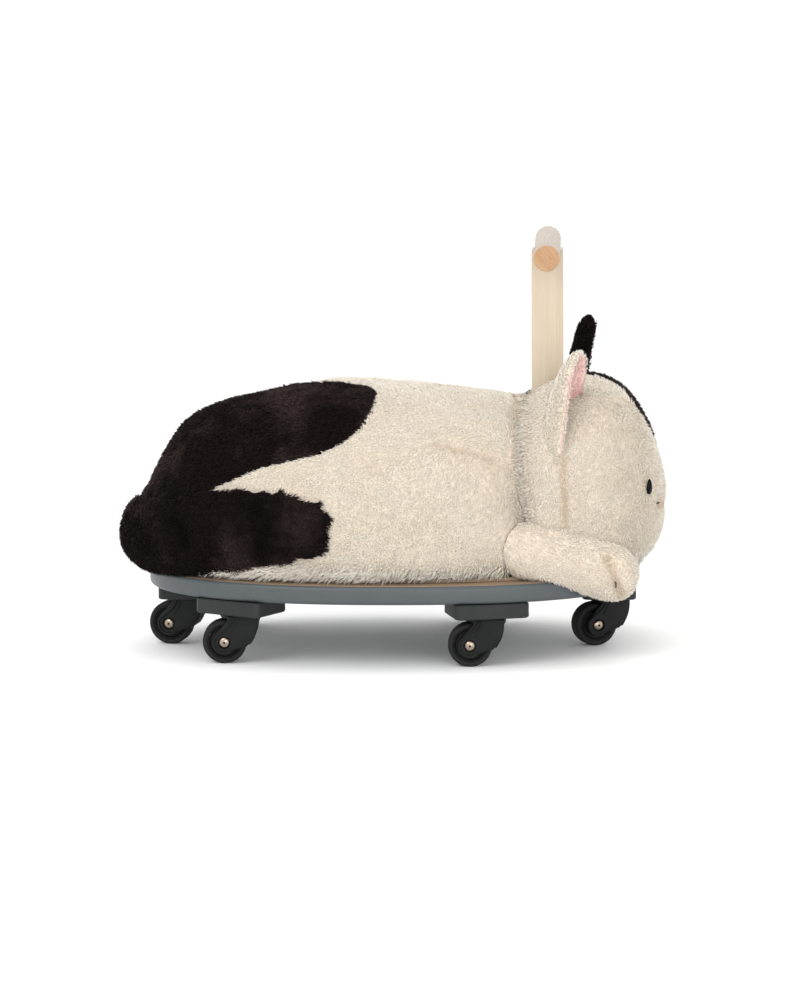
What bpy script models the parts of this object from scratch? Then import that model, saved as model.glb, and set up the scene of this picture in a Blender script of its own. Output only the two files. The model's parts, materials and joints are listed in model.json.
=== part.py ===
"""A plush cat to ride on: the animal lies on an oval wooden board with six swivel casters and a T-handle.

Metres. +X points to the animal's head, +Z up. The origin is on the floor, under the middle of the toy.
The animal's right side is at -Y and its left side at +Y.
"""

import math

import bmesh
import bpy
from mathutils import Matrix, Vector

# Fits
GAP = 0.0003
CUT_OVERRUN = 0.002
SHARP_DEGREES = 35
FLAT_DEGREES = 0.5

# Wheels and tyres
WHEEL_DIAMETER = 0.042
TYRE_WIDTH = 0.0175
TYRE_SHOULDER = 0.0022
TYRE_DEPTH = 0.0055
HUB_WIDTH = 0.0168
HUB_BOSS_DIAMETER = 0.015
HUB_RECESS = 0.0022

# Axles
AXLE_DIAMETER = 0.006
AXLE_HEAD_DIAMETER = 0.0098
AXLE_HEAD_DEPTH = 0.0014
HEAD_RECESS_DIAMETER = 0.0124

# Forks
CASTER_TRAIL = 0.0156
FORK_WIDTH = 0.028
FORK_WHEEL_SIDE_GAP = 0.0008
WHEEL_TOP_GAP = 0.0015
FORK_ROOF = 0.0035
FORK_FRONT = 0.0168
FORK_SKIRT_HEIGHT = 0.0192
FORK_SKIRT_FRONT = 0.0094
FORK_SKIRT_STEP = 0.0018
FORK_BOSS_DIAMETER = 0.0226
FORK_EDGE = 0.0012
CROWN_DIAMETER = 0.0372
CROWN_DROP = 0.0115
FORK_BOSS_DEGREES = (262, 238, 214, 190, 166, 148)
FORK_CURVE_SHARES = (0.34, 0.62, 0.84)
FORK_CURVE_POWER = 2.2
FORK_REST_DEGREES = {
    "rear": -10.8,
    "front": 20,
    "right_rear": 0,
    "left_rear": 3,
    "right_front": 0,
    "left_front": -2,
}

# Swivel bearing and king pin
BEARING_DIAMETER = 0.034
BEARING_HEIGHT = 0.0009
KING_PIN_DIAMETER = 0.008
KING_PIN_IN_BLOCK = 0.009
KING_PIN_IN_FORK = 0.0072

# Mounting blocks
BLOCK_LENGTH = 0.072
BLOCK_DEPTH = 0.052
BLOCK_CORNER = 0.006
BLOCK_WALL = 0.0098
BLOCK_SLOPE = 0.0044
BLOCK_BOSS_DIAMETER = 0.039
BLOCK_EDGE_INSET = 0.0005
BLOCK_SHOULDER_SHARE = 0.16

# Board and the plush's own base panel
BOARD_LENGTH = 0.4735
BOARD_WIDTH = 0.316
BOARD_THICKNESS = 0.018
BOARD_EDGE_RADIUS = 0.0045
BOARD_CENTRE_X = 0.00175
OVAL_POWER = 2.3
PANEL_THICKNESS = 0.003
PANEL_INSET = 0.022
REAR_CASTER_INSET = 0.0355
FRONT_CASTER_INSET = 0.0295
SIDE_REAR_EDGE_SHARE = -0.653
SIDE_FRONT_EDGE_SHARE = 0.409

# Handle
POST_SIDE = 0.0307
POST_CHAMFER = 0.0016
POST_FRONT_INSET = 0.0887
BAR_HEIGHT = 0.3844
BAR_DIAMETER = 0.0252
BAR_LENGTH = 0.190
BAR_END_ROUND = 0.0016
DOWEL_DIAMETER = 0.008
DOWEL_LENGTH = 0.034
BOLT_DIAMETER = 0.006
BOLT_LENGTH = 0.060
BOLT_HEAD_DIAMETER = 0.0115
BOLT_HEAD_HEIGHT = 0.0034
BOLT_SPACING = 0.015
BOLT_SINK = 0.0008

# Plush body
SEAT_HEIGHT = 0.2605
BODY_SIDE_INSET = 0.005
BODY_REAR_OVERHANG = 0.0085
BODY_FRONT_INSET = 0.054
BODY_UNDERCUT = 0.026
BODY_REAR_DROP = 0.014
BODY_BELLY_RISE = 0.034
BODY_REAR_RISE = 0.046
BODY_SIDE_POWER = 0.86
BODY_BACK_POWER = 0.94
BODY_UNDER_POWER = 0.62

# Plush head
HEAD_OVERHANG = 0.028
HEAD_LENGTH = 0.1505
HEAD_SIDE_INSET = 0.038
HEAD_HEIGHT = 0.1809
HEAD_FACE_POWER = 0.97
HEAD_NAPE_POWER = 0.5
EAR_WIDTH = 0.096
EAR_LENGTH = 0.098
EAR_THICKNESS = 0.027
EAR_BACKWARD_BOW = 0.011
EAR_SIDE_POWERS = (1.35, 0.8)
EAR_BACK_POWERS = (2.2, 0.5)
EYE_HEIGHT = 0.0145
EYE_WIDTH = 0.0115
EYE_DEPTH = 0.0076
EYE_LEVEL = 0.165

# Plush forelegs and tail
ARM_THICKNESS = 0.058
ARM_HEIGHT = 0.060
ARM_SIDE_INSET = 0.045
ARM_DROP = 0.036
TAIL_THICKNESS = 0.058
TAIL_HEIGHT = 0.080
TAIL_OUTER_STAND = 0.0039
TAIL_REAR_STAND = 0.03646
LIMB_END_SHARE = 0.16

# Steps round each kind of curve
BOARD_STEPS = 48
PANEL_STEPS = 32
WHEEL_STEPS = 24
CROWN_STEPS = 16
SLOT_STEPS = 16
HUB_STEPS = 16
PIN_STEPS = 12
BAR_STEPS = 24
BODY_STEPS = 28
HEAD_STEPS = 26
LIMB_STEPS = 12
LIMB_END_STEPS = 4
LIMB_PITCH = 0.020
PATH_STEPS = 8
EAR_STEPS = 14
EYE_STEPS = 12
CORNER_STEPS = 5

# Sizes that follow from the ones above
WHEEL_RADIUS = WHEEL_DIAMETER / 2
AXLE_Z = WHEEL_RADIUS
FORK_TOP = WHEEL_DIAMETER + WHEEL_TOP_GAP + FORK_ROOF
BEARING_BOTTOM = FORK_TOP + GAP
BLOCK_BOTTOM = BEARING_BOTTOM + BEARING_HEIGHT + GAP
BLOCK_TOP = BLOCK_BOTTOM + BLOCK_SLOPE + BLOCK_WALL
BOARD_BOTTOM = BLOCK_TOP + GAP
BOARD_TOP = BOARD_BOTTOM + BOARD_THICKNESS
BOARD_REAR = BOARD_CENTRE_X - BOARD_LENGTH / 2
BOARD_FRONT = BOARD_CENTRE_X + BOARD_LENGTH / 2
PANEL_BOTTOM = BOARD_TOP + GAP
PANEL_TOP = PANEL_BOTTOM + PANEL_THICKNESS
BODY_FLOOR = PANEL_TOP + GAP
BODY_REAR = BOARD_REAR - BODY_REAR_OVERHANG
BODY_FRONT = BOARD_FRONT - BODY_FRONT_INSET
BODY_LENGTH = BODY_FRONT - BODY_REAR
BODY_HALF_WIDTH = BOARD_WIDTH / 2 - BODY_SIDE_INSET
HEAD_FRONT = BOARD_FRONT + HEAD_OVERHANG
HEAD_BACK = HEAD_FRONT - HEAD_LENGTH
HEAD_FLOOR = BODY_FLOOR
HEAD_WIDTH = BOARD_WIDTH - 2 * HEAD_SIDE_INSET
ARM_SPACING = BOARD_WIDTH - 2 * ARM_SIDE_INSET
POST_X = BOARD_FRONT - POST_FRONT_INSET
POST_BOTTOM = PANEL_TOP + GAP
WHEEL_SLOT_WIDTH = TYRE_WIDTH + 2 * FORK_WHEEL_SIDE_GAP

# Where the plush is cut into sections. Body: share of its length from the rear, of its height above the
# board and of its half width. The last column is how round the section's underside is.
BODY_SECTION_SHARES = (
    (0.000, 0.300, 0.085, 1.0),
    (0.008, 0.380, 0.200, 0.85),
    (0.026, 0.480, 0.330, 0.65),
    (0.055, 0.615, 0.440, 0.40),
    (0.092, 0.750, 0.560, 0.15),
    (0.130, 0.822, 0.660, 0.0),
    (0.190, 0.878, 0.775, 0.0),
    (0.265, 0.916, 0.868, 0.0),
    (0.345, 0.958, 0.940, 0.0),
    (0.450, 1.000, 0.988, 0.0),
    (0.545, 0.992, 1.000, 0.0),
    (0.640, 0.972, 0.992, 0.0),
    (0.720, 0.950, 0.966, 0.0),
    (0.785, 0.934, 0.912, 0.0),
    (0.825, 0.920, 0.842, 0.0),
    (0.852, 0.896, 0.740, 0.0),
    (0.880, 0.845, 0.610, 0.0),
    (0.925, 0.740, 0.440, 0.1),
    (0.970, 0.620, 0.310, 0.3),
    (1.000, 0.480, 0.150, 0.6),
)

# Head: share of its height, then how far back and forward the section reaches as a share of the length,
# and its share of the half width.
HEAD_SECTION_SHARES = (
    (0.000, 0.300, 0.720, 0.600),
    (0.020, 0.190, 0.830, 0.740),
    (0.070, 0.090, 0.920, 0.880),
    (0.155, 0.035, 0.975, 0.965),
    (0.255, 0.010, 0.993, 0.995),
    (0.365, 0.000, 1.000, 1.000),
    (0.495, 0.000, 0.980, 0.985),
    (0.585, 0.010, 0.945, 0.955),
    (0.665, 0.025, 0.915, 0.910),
    (0.740, 0.045, 0.880, 0.850),
    (0.805, 0.070, 0.836, 0.770),
    (0.865, 0.105, 0.790, 0.675),
    (0.920, 0.155, 0.736, 0.555),
    (0.965, 0.235, 0.655, 0.400),
    (0.992, 0.350, 0.570, 0.200),
    (1.000, 0.430, 0.500, 0.060),
)
HEAD_WIDEST_SHARE = 0.41

# Ear: root and tip as shares of the head's length, half width and height, with the lean of its long side.
EAR_ROOT_SHARES = (0.425, 0.700, 0.735)
EAR_TIP_SHARES = {"right": (0.440, 0.775, 1.200), "left": (0.500, 0.750, 1.262)}
EAR_SPREAD_SHARES = (0.270, -0.610, 0.745)
EAR_RING_SHARES = (0, 0.14, 0.28, 0.42, 0.56, 0.70, 0.82, 0.92, 0.985)
EAR_BOW_SHARE = 1.15
EAR_RIM_SHARE = 0.0625
EYE_SPACING_SHARE = 0.6

# Foreleg: shares of its run from the elbow to the paw, of the half spacing and of the drop.
ARM_END_SHARE = 0.085
ARM_PATH_SHARES = ((0.00, 0.985, 0.00), (0.33, 1.000, 0.10), (0.68, 0.985, 0.50), (1.00, 0.925, 1.00))

# Tail: places along the board's oval as a share of a turn from the front, height share, size share.
TAIL_PATH_SHARES = (
    (-0.440, 0.30, 0.66),
    (-0.485, 0.34, 0.82),
    (0.465, 0.36, 0.90),
    (0.425, 0.40, 0.96),
    (0.385, 0.47, 1.03),
    (0.349, 0.54, 1.07),
    (0.317, 0.575, 1.07),
    (0.291, 0.60, 1.02),
    (0.268, 0.62, 0.90),
)

COLOURS = {
    "cream_fur": ((0.80, 0.74, 0.62), 0.95, 0.0),
    "dark_fur": ((0.035, 0.026, 0.025), 0.95, 0.0),
    "blue_grey_paint": ((0.135, 0.165, 0.180), 0.45, 0.0),
    "pine": ((0.80, 0.66, 0.46), 0.50, 0.0),
    "beech": ((0.74, 0.56, 0.40), 0.50, 0.0),
    "plywood": ((0.55, 0.40, 0.26), 0.65, 0.0),
    "black_plastic": ((0.028, 0.029, 0.030), 0.45, 0.0),
    "black_rubber": ((0.022, 0.022, 0.023), 0.60, 0.0),
    "steel": ((0.62, 0.55, 0.47), 0.30, 1.0),
    "eye_black": ((0.008, 0.007, 0.007), 0.12, 0.0),
}


# Scene, materials and general helpers


def clear_scene():
    for item in list(bpy.data.objects):
        bpy.data.objects.remove(item, do_unlink=True)


def finish_material(node_name, colour_name):
    """A material of its own for one piece."""
    colour, roughness, metallic = COLOURS[colour_name]
    material = bpy.data.materials.new(node_name + "_" + colour_name)
    material.use_nodes = True
    shader = material.node_tree.nodes["Principled BSDF"]
    shader.inputs["Base Color"].default_value = (*colour, 1.0)
    shader.inputs["Roughness"].default_value = roughness
    shader.inputs["Metallic"].default_value = metallic
    material.diffuse_color = (*colour, 1.0)
    return material


def mesh_from(bm, name, smooth=False):
    bmesh.ops.recalc_face_normals(bm, faces=bm.faces)
    mesh = bpy.data.meshes.new(name)
    bm.to_mesh(mesh)
    bm.free()
    if smooth:
        mesh.shade_smooth()
        mesh.set_sharp_from_angle(angle=math.radians(SHARP_DEGREES))
    return mesh


def add_object(name, mesh, colour_name, parent=None, location=(0, 0, 0), turn=0.0):
    """A named piece. Pieces that share a mesh keep their own material on the object."""
    item = bpy.data.objects.new(name, mesh)
    bpy.context.scene.collection.objects.link(item)
    if not mesh.materials:
        mesh.materials.append(None)
    item.material_slots[0].link = "OBJECT"
    item.material_slots[0].material = finish_material(name, colour_name)
    item.parent = parent
    item.location = location
    item.rotation_euler = (0, 0, turn)
    return item


def add_cutter(name, mesh, parent=None, location=(0, 0, 0)):
    item = bpy.data.objects.new(name, mesh)
    bpy.context.scene.collection.objects.link(item)
    item.hide_render = True
    item.display_type = "WIRE"
    item.parent = parent
    item.location = location
    return item


def add_axis(name, location, turn=0.0, parent=None):
    """An empty on a joint's axis, which the moving pieces hang from."""
    empty = bpy.data.objects.new(name, None)
    bpy.context.scene.collection.objects.link(empty)
    empty.parent = parent
    empty.location = location
    empty.rotation_euler = (0, 0, turn)
    return empty


def boolean(item, other, operation="DIFFERENCE"):
    modifier = item.modifiers.new(operation.title() + "_" + other.name, "BOOLEAN")
    modifier.operation = operation
    modifier.object = other
    modifier.solver = "EXACT"


def shaped_mesh(name, base, steps, smooth=False):
    """One mesh from a base and (operation, mesh) steps, for pieces that are repeated."""
    item = add_cutter(name + "_blank", base)
    tools = [item]
    for index, (operation, mesh) in enumerate(steps):
        tool = add_cutter(name + "_tool_" + str(index), mesh)
        boolean(item, tool, operation)
        tools.append(tool)
    evaluated = item.evaluated_get(bpy.context.evaluated_depsgraph_get())
    bm = bmesh.new()
    bm.from_mesh(evaluated.to_mesh())
    evaluated.to_mesh_clear()
    for tool in tools:
        bpy.data.objects.remove(tool, do_unlink=True)
    bmesh.ops.dissolve_limit(
        bm, angle_limit=math.radians(FLAT_DEGREES), verts=bm.verts, edges=bm.edges
    )
    return mesh_from(bm, name, smooth)


def signed_power(value, power):
    return math.copysign(abs(value) ** power, value)


def oval_point(turn_share, half_length, half_width):
    """A point of the board's oval. The turn is counted from the front, towards the right side."""
    angle = 2 * math.pi * turn_share
    x = half_length * signed_power(math.cos(angle), 2 / OVAL_POWER)
    y = -half_width * signed_power(math.sin(angle), 2 / OVAL_POWER)
    return x, y


def oval_outline(half_length, half_width, steps):
    return [oval_point(index / steps, half_length, half_width) for index in range(steps)]


def oval_half_width(x_share, half_width):
    return half_width * (1 - abs(x_share) ** OVAL_POWER) ** (1 / OVAL_POWER)


def oval_normal_angle(x_share):
    """Angle between the oval's outward normal and the sideways direction, at a share of the half length."""
    half_length = BOARD_LENGTH / 2
    half_width = BOARD_WIDTH / 2
    along = abs(x_share) ** (OVAL_POWER - 1) / half_length
    side_share = oval_half_width(x_share, 1)
    across = side_share ** (OVAL_POWER - 1) / half_width
    return math.copysign(math.atan2(along, across), x_share)


# Solids from outlines


def plate_mesh(name, outline, bottom, top, edge_round=0.0, segments=2, smooth=False):
    """An outline in plan, extruded upwards, with its two rims rounded."""
    bm = bmesh.new()
    corners = [bm.verts.new((x, y, bottom)) for x, y in outline]
    base = bm.faces.new(corners)
    grown = bmesh.ops.extrude_face_region(bm, geom=[base])
    raised = [part for part in grown["geom"] if isinstance(part, bmesh.types.BMVert)]
    bmesh.ops.translate(bm, verts=raised, vec=(0, 0, top - bottom))
    if edge_round:
        rims = [edge for edge in bm.edges if abs(edge.verts[0].co.z - edge.verts[1].co.z) < GAP]
        bmesh.ops.bevel(
            bm, geom=rims, offset=edge_round, segments=segments, affect="EDGES", profile=0.5, material=-1
        )
    return mesh_from(bm, name, smooth)


def side_profile_mesh(name, outline, half_width, edge_cut=0.0):
    """An outline in the XZ plane, extruded across Y, with both side rims chamfered."""
    bm = bmesh.new()
    corners = [bm.verts.new((x, -half_width, z)) for x, z in outline]
    base = bm.faces.new(corners)
    grown = bmesh.ops.extrude_face_region(bm, geom=[base])
    moved = [part for part in grown["geom"] if isinstance(part, bmesh.types.BMVert)]
    bmesh.ops.translate(bm, verts=moved, vec=(0, 2 * half_width, 0))
    if edge_cut:
        rims = [edge for edge in bm.edges if abs(edge.verts[0].co.y - edge.verts[1].co.y) < GAP]
        bmesh.ops.bevel(bm, geom=rims, offset=edge_cut, segments=1, affect="EDGES", profile=0.5, material=-1)
    return mesh_from(bm, name)


def turned_mesh(name, profile, steps, upright=True, smooth=True):
    """A closed profile of (radius, height) turned round Z, or round Y where it isn't upright."""
    bm = bmesh.new()
    corners = [bm.verts.new((radius, 0, height)) for radius, height in profile]
    edges = [bm.edges.new(pair) for pair in zip(corners, corners[1:] + corners[:1])]
    bmesh.ops.spin(
        bm,
        geom=corners + edges,
        cent=(0, 0, 0),
        axis=(0, 0, 1),
        angle=2 * math.pi,
        steps=steps,
        use_merge=True,
    )
    bmesh.ops.remove_doubles(bm, verts=bm.verts, dist=GAP / 10)
    if not upright:
        bmesh.ops.rotate(bm, verts=bm.verts, matrix=Matrix.Rotation(math.pi / 2, 3, "X"))
    return mesh_from(bm, name, smooth)


def rod_mesh(name, radius, low, high, steps, upright=True, smooth=False):
    bm = bmesh.new()
    middle = Matrix.Translation((0, 0, (low + high) / 2))
    bmesh.ops.create_cone(
        bm, cap_ends=True, segments=steps, radius1=radius, radius2=radius, depth=high - low, matrix=middle
    )
    if not upright:
        bmesh.ops.rotate(bm, verts=bm.verts, matrix=Matrix.Rotation(math.pi / 2, 3, "X"))
    return mesh_from(bm, name, smooth)


def moved_mesh(mesh, offset):
    mesh.transform(Matrix.Translation(offset))
    return mesh


def box_mesh(name, low, high, chamfer=0.0):
    bm = bmesh.new()
    bmesh.ops.create_cube(bm, size=1)
    size = [high[axis] - low[axis] for axis in range(3)]
    centre = [(high[axis] + low[axis]) / 2 for axis in range(3)]
    bmesh.ops.scale(bm, verts=bm.verts, vec=size)
    bmesh.ops.translate(bm, verts=bm.verts, vec=centre)
    if chamfer:
        uprights = [edge for edge in bm.edges if abs(edge.verts[0].co.z - edge.verts[1].co.z) > chamfer]
        bmesh.ops.bevel(
            bm, geom=uprights, offset=chamfer, segments=1, affect="EDGES", profile=0.5, material=-1
        )
    return mesh_from(bm, name)


def ring_skin(name, rings, smooth=True):
    """Rings of points joined one to the next by bridging, with the two end rings capped."""
    bm = bmesh.new()
    loops = []
    for ring in rings:
        corners = [bm.verts.new(point) for point in ring]
        loops.append([bm.edges.new(pair) for pair in zip(corners, corners[1:] + corners[:1])])
    for first, second in zip(loops, loops[1:]):
        bmesh.ops.bridge_loops(bm, edges=first + second)
    for end in (loops[0], loops[-1]):
        bmesh.ops.contextual_create(bm, geom=end)
    bmesh.ops.triangulate(bm, faces=bm.faces)
    return mesh_from(bm, name, smooth)


def grown_copy(mesh, name):
    """The same form with every side moved out by the fitting gap, to cut a neighbour with."""
    bm = bmesh.new()
    bm.from_mesh(mesh)
    bm.normal_update()
    for vert in bm.verts:
        vert.co += vert.normal * GAP
    return mesh_from(bm, name)


# Board


def make_board():
    outline = oval_outline(BOARD_LENGTH / 2, BOARD_WIDTH / 2, BOARD_STEPS)
    mesh = plate_mesh("base_board", outline, BOARD_BOTTOM, BOARD_TOP, BOARD_EDGE_RADIUS, 2, True)
    board = add_object("base_board", mesh, "blue_grey_paint", location=(BOARD_CENTRE_X, 0, 0))
    inner = oval_outline(BOARD_LENGTH / 2 - PANEL_INSET, BOARD_WIDTH / 2 - PANEL_INSET, PANEL_STEPS)
    panel_mesh = plate_mesh("plush_base_panel", inner, PANEL_BOTTOM, PANEL_TOP)
    panel = add_object("plush_base_panel", panel_mesh, "plywood", location=(BOARD_CENTRE_X, 0, 0))
    return board, panel


# Handle


def make_handle(board, panel):
    """The post stands on the panel, and two bolts from under the board draw it down."""
    half = POST_SIDE / 2
    post_mesh = box_mesh(
        "handle_post", (-half, -half, POST_BOTTOM), (half, half, BAR_HEIGHT), POST_CHAMFER
    )
    post = add_object("handle_post", post_mesh, "pine", location=(POST_X, 0, 0))
    bar_radius = BAR_DIAMETER / 2
    saddle_reach = half + CUT_OVERRUN
    saddle = rod_mesh("bar_saddle", bar_radius + GAP, -saddle_reach, saddle_reach, BAR_STEPS, upright=False)
    boolean(post, add_cutter("bar_saddle", saddle, None, (POST_X, 0, BAR_HEIGHT)))

    reach = BAR_LENGTH / 2
    inner = bar_radius - BAR_END_ROUND
    bar_profile = (
        (0, -reach),
        (inner, -reach),
        (bar_radius, BAR_END_ROUND - reach),
        (bar_radius, reach - BAR_END_ROUND),
        (inner, reach),
        (0, reach),
    )
    bar_mesh = turned_mesh("handle_bar", bar_profile, BAR_STEPS, upright=False)
    bar = add_object("handle_bar", bar_mesh, "beech", location=(POST_X, 0, BAR_HEIGHT))

    dowel_middle = BAR_HEIGHT - bar_radius
    dowel_low = dowel_middle - DOWEL_LENGTH / 2
    dowel_high = dowel_middle + DOWEL_LENGTH / 2
    dowel_mesh = rod_mesh("bar_dowel", DOWEL_DIAMETER / 2, dowel_low, dowel_high, PIN_STEPS, smooth=True)
    add_object("bar_dowel", dowel_mesh, "beech", location=(POST_X, 0, 0))
    hole_mesh = rod_mesh(
        "dowel_hole", DOWEL_DIAMETER / 2 + GAP, dowel_low - GAP, dowel_high + GAP, PIN_STEPS
    )
    hole = add_cutter("dowel_hole", hole_mesh, None, (POST_X, 0, 0))
    boolean(post, hole)
    boolean(bar, hole)

    head_bottom = BOARD_BOTTOM + BOLT_SINK
    head_top = head_bottom + BOLT_HEAD_HEIGHT
    shank = BOLT_DIAMETER / 2
    tip = head_bottom + BOLT_LENGTH
    bolt_profile = (
        (0, head_bottom),
        (BOLT_HEAD_DIAMETER / 2, head_bottom),
        (BOLT_HEAD_DIAMETER / 2, head_top),
        (shank, head_top),
        (shank, tip),
        (0, tip),
    )
    hole_profile = (
        (0, BOARD_BOTTOM - CUT_OVERRUN),
        (BOLT_HEAD_DIAMETER / 2 + GAP, BOARD_BOTTOM - CUT_OVERRUN),
        (BOLT_HEAD_DIAMETER / 2 + GAP, head_top + GAP),
        (shank + GAP, head_top + GAP),
        (shank + GAP, tip + GAP),
        (0, tip + GAP),
    )
    for side, name in ((-1, "right"), (1, "left")):
        place = (POST_X, side * BOLT_SPACING / 2, 0)
        bolt_mesh = turned_mesh("post_bolt_" + name, bolt_profile, PIN_STEPS)
        add_object("post_bolt_" + name, bolt_mesh, "steel", None, place)
        bolt_room = turned_mesh("bolt_hole_" + name, hole_profile, PIN_STEPS)
        bolt_hole = add_cutter("bolt_hole_" + name, bolt_room, None, place)
        for item in (board, panel, post):
            boolean(item, bolt_hole)


# Casters


def fork_outline():
    """Side view of the fork's plates: boss round the axle, ridge up to the crown, curved front, skirt."""
    boss = FORK_BOSS_DIAMETER / 2
    points = []
    for degrees in FORK_BOSS_DEGREES:
        angle = math.radians(degrees)
        points.append((boss * math.cos(angle) - CASTER_TRAIL, AXLE_Z + boss * math.sin(angle)))
    ridge_top = FORK_TOP - FORK_ROOF
    points.append((-CROWN_DIAMETER / 3, ridge_top))
    points.append((FORK_FRONT, ridge_top))
    for share in FORK_CURVE_SHARES:
        drop = ridge_top - share * (ridge_top - FORK_SKIRT_HEIGHT)
        back = (FORK_FRONT - FORK_SKIRT_FRONT) * share**FORK_CURVE_POWER
        points.append((FORK_FRONT - back, drop))
    points.append((FORK_SKIRT_FRONT, FORK_SKIRT_HEIGHT))
    points.append((FORK_SKIRT_FRONT - FORK_SKIRT_STEP, FORK_SKIRT_HEIGHT))
    points.append((FORK_SKIRT_FRONT - 2 * FORK_SKIRT_STEP, FORK_SKIRT_HEIGHT - FORK_SKIRT_STEP))
    return points


def fork_mesh():
    plates = side_profile_mesh("fork_plates", fork_outline(), FORK_WIDTH / 2, FORK_EDGE)
    crown_radius = CROWN_DIAMETER / 2
    waist = FORK_TOP - CROWN_DROP
    crown_profile = (
        (0, waist),
        (FORK_WIDTH / 2 - FORK_EDGE, waist),
        (crown_radius - FORK_EDGE, FORK_TOP - CROWN_DROP / 2),
        (crown_radius, FORK_TOP - FORK_ROOF),
        (crown_radius, FORK_TOP),
        (0, FORK_TOP),
    )
    crown = turned_mesh("fork_crown", crown_profile, CROWN_STEPS, smooth=False)
    slot_radius = WHEEL_RADIUS + WHEEL_TOP_GAP
    half_slot = WHEEL_SLOT_WIDTH / 2
    slot = rod_mesh("wheel_slot", slot_radius, -half_slot, half_slot, SLOT_STEPS, upright=False)
    moved_mesh(slot, (-CASTER_TRAIL, 0, AXLE_Z))
    axle_hole = rod_mesh(
        "axle_hole", AXLE_DIAMETER / 2 + GAP, -FORK_WIDTH, FORK_WIDTH, PIN_STEPS, upright=False
    )
    moved_mesh(axle_hole, (-CASTER_TRAIL, 0, AXLE_Z))
    steps = [("UNION", crown), ("DIFFERENCE", slot), ("DIFFERENCE", axle_hole)]
    recess_radius = HEAD_RECESS_DIAMETER / 2
    for side in (-1, 1):
        depths = sorted(
            (side * (FORK_WIDTH / 2 - AXLE_HEAD_DEPTH), side * (FORK_WIDTH / 2 + CUT_OVERRUN))
        )
        recess = rod_mesh("head_recess", recess_radius, *depths, PIN_STEPS, upright=False)
        moved_mesh(recess, (-CASTER_TRAIL, 0, AXLE_Z))
        steps.append(("DIFFERENCE", recess))
    pin_hole = rod_mesh(
        "king_pin_hole",
        KING_PIN_DIAMETER / 2 + GAP,
        FORK_TOP - KING_PIN_IN_FORK - GAP,
        FORK_TOP + CUT_OVERRUN,
        PIN_STEPS,
    )
    steps.append(("DIFFERENCE", pin_hole))
    return shaped_mesh("caster_fork", plates, steps)


def rounded_rectangle(half_length, half_depth, corner, per_corner):
    """Outline round the swivel axis, with the long side along X."""
    points = []
    for index, (sign_x, sign_y) in enumerate(((1, 1), (-1, 1), (-1, -1), (1, -1))):
        for step in range(per_corner):
            angle = (index + step / (per_corner - 1)) * math.pi / 2
            points.append(
                (
                    sign_x * (half_length - corner) + corner * math.cos(angle),
                    sign_y * (half_depth - corner) + corner * math.sin(angle),
                )
            )
    return points


def block_mesh():
    """A rounded rectangular plate, sloping in underneath to a round boss with a blind bore for the pin."""
    outline = rounded_rectangle(BLOCK_LENGTH / 2, BLOCK_DEPTH / 2, BLOCK_CORNER, CORNER_STEPS)
    boss = BLOCK_BOSS_DIAMETER / 2
    wall_bottom = BLOCK_BOTTOM + BLOCK_SLOPE

    def ring(height, share):
        """Between the rectangle, at share 0, and the boss's circle, at share 1."""
        points = []
        for x, y in outline:
            radius = math.hypot(x, y)
            points.append(
                (
                    x * (1 - share) + boss * x / radius * share,
                    y * (1 - share) + boss * y / radius * share,
                    height,
                )
            )
        return points

    rings = (
        ring(BLOCK_TOP, 0),
        ring(wall_bottom, 0),
        ring(wall_bottom - BLOCK_SLOPE / 4, BLOCK_SHOULDER_SHARE),
        ring(BLOCK_BOTTOM, 1),
    )
    solid = ring_skin("caster_block", rings, smooth=False)
    bore = rod_mesh(
        "pin_bore",
        KING_PIN_DIAMETER / 2 + GAP,
        BLOCK_BOTTOM - CUT_OVERRUN,
        BLOCK_BOTTOM + KING_PIN_IN_BLOCK + GAP,
        PIN_STEPS,
    )
    return shaped_mesh("caster_block", solid, [("DIFFERENCE", bore)])


def tyre_mesh():
    half = TYRE_WIDTH / 2
    inner = WHEEL_RADIUS - TYRE_DEPTH
    profile = (
        (inner, -half),
        (WHEEL_RADIUS - TYRE_SHOULDER, -half),
        (WHEEL_RADIUS, TYRE_SHOULDER - half),
        (WHEEL_RADIUS, half - TYRE_SHOULDER),
        (WHEEL_RADIUS - TYRE_SHOULDER, half),
        (inner, half),
    )
    return turned_mesh("caster_tyre", profile, WHEEL_STEPS, upright=False)


def hub_mesh():
    half = HUB_WIDTH / 2
    bore = AXLE_DIAMETER / 2 + GAP
    boss = HUB_BOSS_DIAMETER / 2
    rim = WHEEL_RADIUS - TYRE_DEPTH - GAP
    web = half - HUB_RECESS
    profile = (
        (bore, -half),
        (boss, -half),
        (boss + HUB_RECESS, -web),
        (rim, -web),
        (rim, web),
        (boss + HUB_RECESS, web),
        (boss, half),
        (bore, half),
    )
    return turned_mesh("caster_hub", profile, HUB_STEPS, upright=False)


def axle_mesh():
    shank = AXLE_DIAMETER / 2
    head = AXLE_HEAD_DIAMETER / 2
    end = FORK_WIDTH / 2
    seat = end - AXLE_HEAD_DEPTH + GAP
    profile = (
        (0, -end),
        (head, -end),
        (head, -seat),
        (shank, -seat),
        (shank, seat),
        (head, seat),
        (head, end),
        (0, end),
    )
    return turned_mesh("caster_axle", profile, PIN_STEPS, upright=False)


def bearing_mesh():
    inner = KING_PIN_DIAMETER / 2 + GAP
    outer = BEARING_DIAMETER / 2
    top = BEARING_BOTTOM + BEARING_HEIGHT
    profile = ((inner, BEARING_BOTTOM), (outer, BEARING_BOTTOM), (outer, top), (inner, top))
    return turned_mesh("swivel_bearing", profile, PIN_STEPS)


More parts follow.
